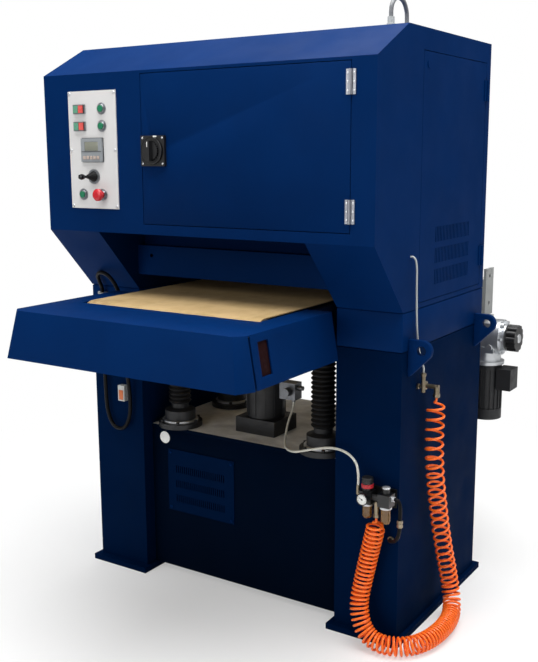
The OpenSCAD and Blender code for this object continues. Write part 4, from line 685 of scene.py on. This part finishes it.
def smooth(points: Sequence[Sequence[float]], steps: int) -> list[Vector]:
    """A smooth curve through points.

    Args:
        points: The points to pass.
        steps: Stretches between two of them.

    Returns:
        The points of the curve.
    """
    p = [Vector(q) for q in points]
    last = len(p) - 1
    made = []
    for i in range(last):
        a, b, c, d = p[max(i - 1, 0)], p[i], p[i + 1], p[min(i + 2, last)]
        for u in (k / steps for k in range(steps)):
            bend = (2 * a - 5 * b + 4 * c - d) * u * u + (3 * b - a - 3 * c + d) * u**3
            made.append((2 * b + (c - a) * u + bend) / 2)
    made.append(p[last])
    return made


@dataclass(frozen=True)
class Cord:
    """A hose, tube or cable with a round section, which goes back into the machine.

    Attributes:
        name: The piece's name.
        radius: Its radius in millimetres.
        finish: Its finish.
        node: The CAD node that it stands for, or nothing.
        route: Points that its middle line passes.
        steps: Stretches between two points of the route.
    """

    name: str
    radius: float
    finish: Finish
    node: str
    route: tuple[tuple[float, ...], ...]
    steps: int = 6

    def line(self) -> list[Vector]:
        """The points of its middle line in millimetres."""
        return smooth(self.route, self.steps)

    def build(self, fittings: Sequence[Piece] = ()) -> None:
        """Makes the cord as a curve.

        Args:
            fittings: The separate pieces on it; not used.
        """
        line = bpy.data.curves.new(self.name, "CURVE")
        line.dimensions = "3D"
        line.bevel_depth = self.radius * MM
        line.bevel_resolution = 3
        line.use_fill_caps = True
        strand = line.splines.new("POLY")
        points = [place(*p) for p in self.line()]
        strand.points.add(len(points) - 1)
        for spot, p in zip(strand.points, points):
            spot.co = (*p, 1.0)
        strand.use_smooth = True
        made = bpy.data.objects.new(self.name, line)
        bpy.context.collection.objects.link(made)
        finish_piece(made, self.name, "machine", self.finish, smooth=False)
        if self.node:
            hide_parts(self.node)


@dataclass(frozen=True)
class CoiledCord(Cord):
    """A cord that is wound round its route. Each point of the route has the pitch as a fourth value.

    Attributes:
        coil_r: Radius from the route to the cord's middle.
        curl_rings: Points in one turn.
        coil_in: Length at each end that isn't wound.
        opening: Length in which the winding opens up, in radii of the coil.
    """

    steps: int = 8
    coil_r: float = 27.0
    curl_rings: int = 14
    coil_in: float = 8.0
    opening: float = 0.9

    def line(self) -> list[Vector]:
        """Winds the cord by the same rule as the part's source.

        Returns:
            The points of its middle line in millimetres.
        """
        base = smooth([r[:3] for r in self.route], self.steps)
        pitch = [v.x for v in smooth([(r[3], 0, 0) for r in self.route], self.steps)]
        last = len(base) - 1
        reach, turns = [0.0], [0.0]
        for i in range(last):
            run = (base[i + 1] - base[i]).length
            reach.append(reach[-1] + run)
            turns.append(turns[-1] + run * 2 / (pitch[i] + pitch[i + 1]))
        way = [(base[min(i + 1, last)] - base[max(i - 1, 0)]).normalized() for i in range(last + 1)]
        normal = [(Vector((1, 0, 0)) - way[0].x * way[0]).normalized()]
        for t in way[1:]:
            n = normal[-1]
            normal.append((n - n.dot(t) * t).normalized())
        count = round(turns[-1] * self.curl_rings)
        made, i = [], 0
        for j in range(count + 1):
            w = turns[-1] * j / count
            while i < last - 1 and turns[i + 1] <= w:
                i += 1
            u = (w - turns[i]) / (turns[i + 1] - turns[i])
            s = reach[i] + u * (reach[i + 1] - reach[i])
            t = (way[i] * (1 - u) + way[i + 1] * u).normalized()
            n = normal[i] * (1 - u) + normal[i + 1] * u
            n = (n - n.dot(t) * t).normalized()
            grow = min(1.0, max(0.0, (min(s, reach[-1] - s) - self.coil_in) / self.coil_r / self.opening))
            ease = grow * grow * (3 - 2 * grow)
            swing = math.cos(math.tau * w) * n + math.sin(math.tau * w) * t.cross(n)
            made.append(base[i] + u * (base[i + 1] - base[i]) + self.coil_r * ease * swing)
        return made


CORDS: tuple[Cord, ...] = (
    # From the elbow on the right wall down to the floor and up to the air unit
    CoiledCord("orange_coil_hose", 4.0, HOSE_PU, "coil_hose", (
        (670, 362, 781, 30), (670, 362, 760, 30), (670, 357, 700, 31), (671, 354, 620, 31), (672, 362, 540, 31),
        (673, 380, 460, 30), (674, 402, 380, 30), (676, 426, 300, 29), (679, 450, 225, 27), (684, 468, 162, 22),
        (692, 474, 108, 19.2), (704, 462, 66, 17.3), (717, 430, 40, 15.4), (727, 385, 31.4, 12.9),
        (732, 330, 31.4, 12), (730, 272, 31.4, 12.2), (719, 216, 31.4, 13.7), (697, 168, 31.4, 15.3),
        (665, 138, 31.4, 15.9), (629, 125, 31.4, 15.5), (592, 123, 34, 15), (557, 124, 54, 15),
        (533, 130, 94, 15.3), (522, 142, 145, 15), (527, 154, 205, 14.6), (538, 158, 265, 14.6),
        (550, 160, 325, 14.6), (562, 159, 375, 15), (568, 158, 410, 15.4), (568, 158, 428, 15.9),
    )),
    # From the air unit over the base to the valve block at the lift motor
    Cord("white_air_tube", 4.0, WHITE_NYLON, "air_tube", (
        (504, 158, 522), (504, 158, 530), (504, 158, 538), (503, 158, 560), (494, 162, 588), (470, 168, 608),
        (436, 174, 618), (398, 180, 618), (358, 190, 608), (318, 196, 596), (276, 200, 582), (236, 210, 570),
        (200, 230, 566), (168, 264, 566), (142, 308, 580), (124, 354, 614), (117, 390, 646), (116, 402, 662),
        (115.8, 405, 671), (115.8, 405, 680),
    )),
    # A loop on the left column's front
    Cord("column_cable", 7.0, CABLE, "cables", (
        (-442, 190, 905), (-442, 182, 905), (-442, 173, 905), (-442, 154, 898), (-442, 143, 872),
        (-442, 148, 830), (-442, 165, 750), (-443, 176, 660), (-450, 178, 596), (-472, 178, 554),
        (-502, 178, 542), (-532, 178, 554), (-553, 178, 596), (-560, 177, 660), (-561, 176, 800),
        (-561, 176, 960), (-561, 176, 1042), (-561, 176, 1062), (-558, 160, 1090), (-545, 140, 1114),
        (-515, 126, 1127), (-480, 122, 1119), (-454, 126, 1092), (-443, 138, 1056), (-442, 156, 1035),
        (-442, 173, 1030), (-442, 182, 1030), (-442, 190, 1030),
    )),
    # An arch on the roof from gland to gland
    Cord("roof_conduit", 6.5, CONDUIT, "cables", (
        (528, 279, 1933), (528, 279, 1940), (528, 279, 1949), (528, 284, 1968), (528, 303, 1986),
        (528, 333, 1992), (528, 364, 1984), (528, 384, 1961), (528, 388, 1938), (528, 388, 1926),
        (528, 388, 1918), (528, 388, 1909.9),
    )),
    # From a hole in the right wall down to its elbow
    Cord("side_wall_tube", 3.0, PALE_NYLON, "cables", (
        (626, 239, 1235), (630, 239, 1235), (634, 239, 1235), (643, 239, 1226), (646, 242, 1200),
        (643, 251, 1140), (639, 264, 1070), (636, 277, 1010), (637, 290, 950), (643, 306, 902), (646, 312, 884),
        (646, 312, 876), (646, 312, 868),
    )),
)
# From the oiler's outlet into the column behind the coil
OUTLET_HOSE = Cord("black_outlet_hose", 6.0, CABLE, "", (
    (628, 158, 499), (633, 158, 499), (640, 158, 497), (646, 157, 489), (649, 156, 475), (650, 155, 455),
    (650, 154, 435), (650, 154, 415), (648, 154, 396), (642, 156, 378), (631, 161, 364), (616, 169, 356),
    (605, 178, 352), (602, 186, 351), (602, 192, 351),
))


# Angle under which faces of sheet metal are merged, and angle over which its edges are rounded
FLAT, SHARP = math.radians(1), math.radians(40)


@dataclass(frozen=True)
class Sheet:
    """A sheet-metal node whose sheared and folded edges are rounded.

    Attributes:
        node: The CAD node that it stands for.
        body: The CAD body that it moves with.
        bevel: Width of the rounding in millimetres.
        finish: Its finish.
    """

    node: str
    body: str
    bevel: float
    finish: Finish

    def build(self) -> None:
        """Copies the node's mesh and rounds its edges."""
        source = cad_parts[self.node]
        mesh = source.data.copy()
        mesh.transform(source.matrix_world)
        made = bpy.data.objects.new(self.node, mesh)
        bpy.context.collection.objects.link(made)
        pick(made)
        bpy.ops.object.mode_set(mode="EDIT")
        bpy.ops.mesh.select_mode(type="EDGE")
        bpy.ops.mesh.select_all(action="SELECT")
        bpy.ops.mesh.remove_doubles(threshold=1e-5)
        bpy.ops.mesh.dissolve_limited(angle_limit=FLAT)
        bpy.ops.mesh.select_all(action="SELECT")
        bpy.ops.mesh.normals_make_consistent(inside=False)
        bpy.ops.mesh.select_all(action="DESELECT")
        bpy.ops.mesh.edges_select_sharp(sharpness=SHARP)
        bpy.ops.mesh.bevel(offset=self.bevel * MM, segments=2, affect="EDGES", clamp_overlap=True)
        bpy.ops.object.mode_set(mode="OBJECT")
        finish_piece(made, f"{self.node}_sheet", self.body, self.finish)
        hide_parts(self.node)


SHEETS = (
    Sheet("front_door", "front_door", 1.2, NAVY),
    Sheet("front_cover", "table", 1.6, NAVY),
    Sheet("side_covers", "table", 1.2, NAVY),
    Sheet("base_box", "machine", 2.0, NAVY_PAINTED_DEEP_SHADE),
    Sheet("spacer_blocks", "machine", 1.6, NAVY),
    Sheet("lifting_lugs", "machine", 1.6, NAVY),
    Sheet("base_top_plate", "machine", 1.2, TOP_PLATE_PAINTED_LIGHT),
)


@dataclass(frozen=True)
class Trim:
    """A small piece of the dressing. Its copies are joined into one object.

    Attributes:
        name: The piece's name.
        finish: Its finish.
        at: The point that it is measured from.
        body: The CAD body that it moves with.
        moves: Shift of every copy, the first one's too.
        turns: Angle in degrees by which every copy is turned about its point.
        axle: Letter of the axis of these turns.
        smooth: Whether faces that meet at a small angle are shaded smooth.
    """

    name: str
    finish: Finish
    at: Point
    _: KW_ONLY
    body: str = "machine"
    moves: tuple[Point, ...] = ()
    turns: tuple[float, ...] = ()
    axle: str = "Y"
    smooth: bool = True

    def shape(self) -> Piece:
        """Models one copy.

        Returns:
            The object, without a finish.
        """
        raise NotImplementedError

    def spots(self) -> list[Matrix]:
        """Lists what shifts or turns each copy.

        Returns:
            A matrix for each copy.
        """
        middle = place(*self.at)
        there, back = Matrix.Translation(middle), Matrix.Translation(-middle)
        turns = [there @ Matrix.Rotation(math.radians(angle), 4, self.axle) @ back for angle in self.turns]
        return turns + [Matrix.Translation(Vector(move) * MM) for move in self.moves]

    def build(self) -> Piece:
        """Makes the piece with its copies, and lets it ride.

        Returns:
            The finished object.
        """
        made, spots = self.shape(), self.spots()
        pieces = [made] + [twin(made) for _ in spots[1:]]
        for piece, spot in zip(pieces, spots):
            piece.data.transform(spot)
        return finish_piece(join(pieces), self.name, self.body, self.finish, self.smooth)


@dataclass(frozen=True)
class Block(Trim):
    """A box with rounded edges.

    Attributes:
        low: Its lowest corner, from its point.
        high: Its highest corner, from its point.
        bevel: Width of the rounding in millimetres.
        segments: Faces across the rounding.
    """

    low: Point
    high: Point
    bevel: float = 0.5
    segments: int = 2

    def shape(self) -> Piece:
        """Models one box.

        Returns:
            The object.
        """
        clear_selection()
        low, high = (place(*map(sum, zip(self.at, corner))) for corner in (self.low, self.high))
        bpy.ops.mesh.primitive_cube_add(size=1.0, location=(low + high) / 2, scale=high - low)
        bpy.ops.object.transform_apply(location=True, rotation=True, scale=True)
        bpy.ops.object.mode_set(mode="EDIT")
        bpy.ops.mesh.select_all(action="SELECT")
        bpy.ops.mesh.bevel(offset=self.bevel * MM, segments=self.segments, affect="EDGES")
        bpy.ops.object.mode_set(mode="OBJECT")
        return bpy.context.object


@dataclass(frozen=True)
class Lathe(Trim):
    """A turned piece, or a hexagonal one.

    Attributes:
        stations: Pairs of radius and height in millimetres, from its point up.
        axis: The way that its axis points.
        sides: Faces round it.
        scale: What radii and heights are multiplied by.
    """

    stations: Sequence[Spot]
    axis: Axis = Axis.Y_FRONT
    sides: int = 40
    scale: Spot = (1.0, 1.0)

    def shape(self) -> Piece:
        """Extrudes one piece from station to station along its axis.

        Returns:
            The object.
        """
        clear_selection()
        (r, h), *others = [(r * self.scale[0], h * self.scale[1]) for r, h in self.stations]
        bpy.ops.mesh.primitive_circle_add(
            vertices=self.sides, radius=r * MM, fill_type="NGON", location=(0, 0, h * MM)
        )
        bpy.ops.object.transform_apply(location=True, rotation=True, scale=True)
        bpy.ops.object.mode_set(mode="EDIT")
        bpy.ops.mesh.select_all(action="SELECT")
        for next_r, next_h in others:
            bpy.ops.mesh.extrude_region_move(TRANSFORM_OT_translate={"value": (0, 0, (next_h - h) * MM)})
            k = next_r / r
            bpy.ops.transform.resize(value=(k, k, 1), center_override=(0, 0, next_h * MM))
            r, h = next_r, next_h
        bpy.ops.mesh.select_all(action="SELECT")
        bpy.ops.mesh.remove_doubles(threshold=1e-6)
        bpy.ops.mesh.normals_make_consistent(inside=False)
        bpy.ops.object.mode_set(mode="OBJECT")
        made = bpy.context.object
        made.matrix_world = Matrix.Translation(place(*self.at)) @ self.axis.matrix()
        bpy.ops.object.transform_apply(location=True, rotation=True, scale=True)
        return made


@dataclass(frozen=True, kw_only=True)
class Screw(Lathe):
    """A pan-head screw with a socket. Its scale is the head's radius and height."""

    stations: Sequence[Spot] = ((1.0, 0.0), (1.0, 0.45), (0.8, 0.9), (0.6, 1.0), (0.45, 1.0), (0.45, 0.4))
    sides: int = 24


@dataclass(frozen=True, kw_only=True)
class Nut(Lathe):
    """A hexagon nut with chamfered ends. Its scale is its radius over corners and its height."""

    stations: Sequence[Spot] = ((0.92, 0.0), (1.0, 0.12), (1.0, 0.86), (0.9, 1.0))
    sides: int = 6
    smooth: bool = False


@dataclass(frozen=True)
class Ring(Trim):
    """A ring of round wire that faces forward.

    Attributes:
        major: Radius from its middle to the wire's middle.
        minor: Radius of the wire.
    """

    major: float
    minor: float

    def shape(self) -> Piece:
        """Models one ring.

        Returns:
            The object.
        """
        clear_selection()
        bpy.ops.mesh.primitive_torus_add(
            major_radius=self.major * MM, minor_radius=self.minor * MM, major_segments=48, minor_segments=10,
            location=place(*self.at), rotation=(math.pi / 2, 0, 0),
        )
        return bpy.context.object


@dataclass(frozen=True)
class Needle(Trim):
    """A gauge's needle: a blade on a round hub."""

    def shape(self) -> Piece:
        """Models the needle as it points up.

        Returns:
            The object.
        """
        blade = Block(self.name, self.finish, self.at, (-0.7, -3.0, -4), (0.7, -2.5, 11), 0.15, 1)
        hub = Lathe(self.name, self.finish, self.at, ((2.2, 1.7), (2.2, 3.1), (1.4, 3.4)), sides=20)
        return join([blade.shape(), hub.shape()])


def grid(xs: Sequence[float] = (0,), ys: Sequence[float] = (0,), zs: Sequence[float] = (0,)) -> tuple[Point, ...]:
    """Shifts of copies that stand in rows.

    Args:
        xs: Shifts to the right.
        ys: Shifts to the back.
        zs: Shifts up.

    Returns:
        Every combination of them.
    """
    return tuple((x, y, z) for x in xs for y in ys for z in zs)


# Nipple, union and wall nut of the black hose
OUTLET: tuple[Trim, ...] = (
    Lathe(
        "oiler_nipple", BRIGHT_STEEL, (620, 158, 499),
        ((8.6, 0), (8.6, 2.2), (6.6, 2.8), (6.6, 5.4), (8.4, 6), (8.4, 8.8), (7.2, 9.4)), Axis.X, 24,
    ),
    Nut(
        "outlet_union", BRASS, (650, 154, 437), Axis.Z_DOWN,
        stations=((8.4, 0), (9.4, 1), (9.4, 9), (8, 10), (8, 13), (9.4, 14), (9.4, 22), (8.4, 23)),
    ),
    Nut("outlet_wall_nut", BRASS, (602, 196, 351), stations=((10.5, 0), (11, 0.6), (11, 6), (9.6, 7))),
)

# The panel's front, the display's middle, and the middles of the round buttons and the double keys
PANEL_Y = -3.0
DISPLAY = (-409.5, PANEL_Y, 1553.0)
BUTTONS = ((-366, 1685), (-366, 1630), (-458, 1408), (-372, 1408))
KEY_HEIGHTS = (1685.0, 1630.0)
# Display with its row of keys, screws at the panel's corners and middles, button rings, double keys' black ends
PANEL_TRIM: tuple[Trim, ...] = (
    Block("display_edge", BLACK_ABS, DISPLAY, (-47.6, -2.4, -39.6), (47.6, 0, 39.6), 0.8),
    Block("display_glass", LCD_GLASS, DISPLAY, (-29.6, -8.6, -2.6), (29.6, -6.1, 26.6), 0.6),
    Block("display_divider", BLACK_ABS, DISPLAY, (-43, -10.4, -5.5), (43, -9.1, -4), 0.4),
    Block(
        "display_keys", KEY_BEIGE, DISPLAY, (-36, -11.4, -30), (-24, -9.1, -19), 1.2, moves=grid((0, 15, 30, 45, 60))
    ),
    Screw(
        "panel_screws", BRIGHT_STEEL, (-506, PANEL_Y, 1370), scale=(5.2, 3.2), moves=grid((0, 193), zs=(0, 182.5, 365))
    ),
    *(Ring(f"button_ring_{i}", SATIN_CHROME, (x, PANEL_Y - 1.4, z), 17.0, 2.1) for i, (x, z) in enumerate(BUTTONS, 1)),
    *(
        Block(f"key_end_{i}", BLACK_ABS, (-438.7, PANEL_Y, z), (-1.9, -8.6, -14.6), (1.9, -6.8, 14.6))
        for i, z in enumerate(KEY_HEIGHTS, 1)
    ),
)

# Middles of the isolator's cover and of its knob
COVER, KNOB = (-151.0, -10.0, 1549.0), (-151.0, -20.0, 1549.0)
# Raised ring, cover screws and a blank mark on the isolator, pointer and ribs on its knob
ISOLATOR_TRIM: tuple[Trim, ...] = (
    Lathe(
        "isolator_ring", GLOSS_BLACK, COVER, ((42.4, 0), (42.4, 4), (41.6, 6.4), (40.6, 6.8), (40.6, 5.9)),
        sides=64, body="front_door",
    ),
    Screw(
        "isolator_screws", BRIGHT_STEEL, (-191, -10, 1509), scale=(3.4, 1.8), body="front_door",
        moves=grid((0, 80), zs=(0, 80)),
    ),
    Block("isolator_mark", WHITE_ENAMEL, COVER, (4, -1.2, 42.2), (18, 0.1, 46.8), 0.4, body="front_door"),
    Block("isolator_pointer", WHITE_ENAMEL, KNOB, (-1.2, -16.8, 12), (1.2, -15.9, 28), 0.3, body="isolator_knob"),
    Block(
        "isolator_knob_ribs", GLOSS_BLACK, KNOB, (-2, -2.8, 27.5), (2, 3.4, 29.8), body="isolator_knob",
        turns=tuple(range(0, 360, 15)),
    ),
)

# The joystick's middle, and its boot's folds, each higher and narrower than the last
STICK = (-407.5, 0.0, 1467.0)
FOLDS = [(12.6 - i * 1.9, 14 + i * 5.4) for i in range(4)]
BOOT = (
    (12.8, 12.5), *(spot for r, h in FOLDS for spot in ((r + 0.9, h), (r + 0.9, h + 1.6), (r - 1.2, h + 3.2))),
    (6.6, 36.5), (4.6, 37.5),
)
JOYSTICK_TRIM: tuple[Trim, ...] = (
    Lathe("joystick_boot", RUBBER, STICK, BOOT, body="joystick"),
    Lathe(
        "joystick_grip", GLOSS_BLACK, STICK, ((5.2, 50), (7.4, 54), (9.2, 60), (9.6, 66), (7.6, 71.6), (3.2, 73.4)),
        body="joystick",
    ),
)

# Screws of the front door's hinges, on the leaves and on the bases
HINGE_TRIM: tuple[Trim, ...] = tuple(
    Screw(
        f"hinge_screws_{body}", BRIGHT_STEEL, (x, -3, 1354), scale=(3.3, 1.4), body=body,
        moves=grid(zs=(0, 24, 48, 353, 377, 401)),
    )
    for x, body in ((537.8, "front_door"), (558.2, "machine"))
)

# Middles of the gauge's front, of the filter's block and of the oiler's block
GAUGE, FILTER, OILER = (536.0, 122.0, 492.0), (536.0, 158.0, 492.0), (600.0, 158.0, 492.0)
# Gauge with dial and needle, collars of the bowls, ring and ribs of the regulator, filler cap
AIR_TRIM: tuple[Trim, ...] = (
    Lathe(
        "gauge_rim", GLOSS_BLACK, GAUGE, ((19.2, -5), (19.2, 2.4), (18.2, 3.6), (16.6, 3.6), (16.6, 1.4)), sides=48
    ),
    Lathe("gauge_dial", WHITE_ENAMEL, GAUGE, ((16.4, 1.2), (16.4, 1.7), (15.9, 1.9)), sides=48),
    Block(
        "gauge_ticks", BLACK_ABS, GAUGE, (-0.5, -2.4, 11.4), (0.5, -1.8, 14.6), 0.1, 1,
        turns=tuple(range(-135, 136, 27)), smooth=False,
    ),
    Needle("gauge_needle", BLACK_ABS, GAUGE, turns=(-60,)),
    *(
        Lathe(
            f"{name}_collar", CAST_ALUMINIUM, (x, y, z - 20),
            ((18.6, 0), (19.2, 1.2), (19.2, 6.8), (18.0, 8.4), (15.6, 9.4)), Axis.Z_DOWN,
        )
        for name, (x, y, z) in (("filter", FILTER), ("oiler", OILER))
    ),
    Lathe(
        "regulator_ring", RED_RING, (536, 158, 520), ((17.4, 0.5), (19.2, 1.5), (19.2, 12), (17.2, 13.2)), Axis.Z,
        body="regulator_knob",
    ),
    Block(
        "regulator_ribs", BLACK_ABS, FILTER, (-1.1, -18.0, 43.4), (1.1, -16.4, 58), 0.4, body="regulator_knob",
        turns=tuple(range(0, 360, 18)), axle="Z",
    ),
    Lathe("oiler_cap", BRIGHT_STEEL, (600, 158, 528), ((11.8, 0), (13, 1.5), (13, 5), (9, 7), (3.5, 7.6)), Axis.Z, 32),
)

# White disc, vent screws, a painted-shade strip over the grey plate's front edge, rings round the jacks, front of the
# socket box
BASE_TRIM: tuple[Trim, ...] = (
    Lathe("base_disc", WHITE_ENAMEL, (-341, 246, 516), ((22.5, 0), (22.5, 1.2), (21.4, 2.2), (18, 2.6)), sides=48),
    Screw("vent_screws", NAVY, (-315, 243, 255), scale=(5.4, 3.6), moves=grid((0, 271), zs=(0, 210))),
    # Strip of the navy darkened as painted deep shade, which darkens the plate's front edge
    Block("base_plate_edge", NAVY_PAINTED_DEEP_SHADE, (0, 246, 549), (-400.6, -1.5, 0), (400.6, 0, 11.4)),
    Lathe(
        "jack_rings", BRIGHT_STEEL, (-302, 290, 578), ((64.6, 0), (65.4, 0.8), (65.4, 7.4), (64, 8.4), (57, 8.4)),
        Axis.Z, 64, moves=grid((0, 604), (0, 330)),
    ),
    Block("socket_front", SOCKET_ORANGE, (-484, 174.2, 672), (-10, -2, -18), (10, 0, 18), 0.8),
)

# Plates that lean with the table's cover: a seal behind each joint and a guard behind each window
COVER_TRIM: tuple[Trim, ...] = tuple(
    Block(
        f"{kind}_{word}", finish, (side * 436.4, 0, 995.5), (-1, front, low), (1, rear, high), 0.4, body="table",
        turns=(-side * 9.59,),
    )
    for side, word in ((1, "right"), (-1, "left"))
    for kind, finish, front, rear, low, high in (
        ("joint_seal", NAVY_PAINTED_DEEP_SHADE, -347, -322, -68.5, 68.5),
        ("window_guard", BROWN_GUARD, -306, -241, -51.5, 58.5),
    )
)

# Nuts of the hose fittings, and the handwheel's cap
FITTING_TRIM: tuple[Trim, ...] = (
    Nut("elbow_wall_nut", BRASS, (626.2, 362, 815), Axis.X, scale=(15.5, 9.0)),
    Nut("elbow_hose_nut", BRASS, (670, 362, 794), Axis.Z_DOWN, scale=(11.5, 12.0)),
    Nut("coil_end_nut", BRASS, (568, 158, 428.4), Axis.Z, scale=(10.5, 12.0)),
    Nut("tube_end_nut", BRASS, (646, 312, 866), Axis.Z_DOWN, scale=(9.0, 9.0)),
    Nut("tube_wall_nut", BRASS, (626.2, 312, 823), Axis.X, scale=(9.5, 7.0)),
    Lathe(
        "handwheel_cap", BRIGHT_STEEL, (678, 1125, 843), ((17, 0), (17, 2.4), (15, 4.2), (7, 4.8)), Axis.X,
        body="speed_handwheel",
    ),
)


@dataclass(frozen=True)
class Bellows:
    """Rubber bellows round the four lifting screws.

    Attributes:
        low: Height of the lower end.
        high: Height of the upper end.
        outer: Radius of the crests.
        edge: Radius at a crest's edges.
        root: Radius of the valleys.
        folds: Number of folds.
        spots: Middle of each, as x and y.
        smooth_angle: Faces that meet at less than this many degrees are shaded smooth.
    """

    low: float = 645.0
    high: float = 900.0
    outer: float = 41.8
    edge: float = 40.3
    root: float = 34.5
    folds: int = 16
    spots: tuple[Spot, ...] = ((-302, 290), (302, 290), (-302, 620), (302, 620))
    smooth_angle: float = 50.0

    def stations(self) -> list[Spot]:
        """Lists radii and heights of the folds from the lower end up.

        Returns:
            The stations in millimetres.
        """
        pitch = (self.high - self.low) / self.folds
        fold = ((self.edge, 0.36), (self.outer, 0.5), (self.edge, 0.64), (self.root, 0.97))
        rings = [(r, i * pitch + pitch * share) for i in range(self.folds) for r, share in fold]
        return [(self.root, 0.0), *rings, (self.root, self.high - self.low)]

    def build(self) -> None:
        """Makes the four bellows."""
        for number, (x, y) in enumerate(self.spots, 1):
            name = f"bellows_{number}"
            made = Lathe(name, RUBBER, (x, y, self.low), self.stations(), Axis.Z).shape()
            pick(made)
            bpy.ops.object.shade_smooth_by_angle(angle=math.radians(self.smooth_angle))
            made.name = made.data.name = name
            made.data.materials.append(RUBBER.build())
            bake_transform(made)
            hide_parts("screw_bellows")
            log.info("%s bends between machine and table", name)


def main() -> None:
    """Builds the stage and every sub-assembly in order."""
    logging.basicConfig(level=logging.INFO, format="%(message)s")
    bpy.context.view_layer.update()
    Stage().build()
    for cord in CORDS:
        cord.build()
    fittings = {part.name: part.build() for part in OUTLET}
    OUTLET_HOSE.build([fittings["outlet_union"]])
    dress_cad_nodes()
    Bellows().build()
    for sheet in SHEETS:
        sheet.build()
    trims = (*PANEL_TRIM, *ISOLATOR_TRIM, *JOYSTICK_TRIM, *HINGE_TRIM, *AIR_TRIM, *BASE_TRIM, *COVER_TRIM)
    for part in (*trims, *FITTING_TRIM):
        part.build()


if __name__ == "__main__":
    main()
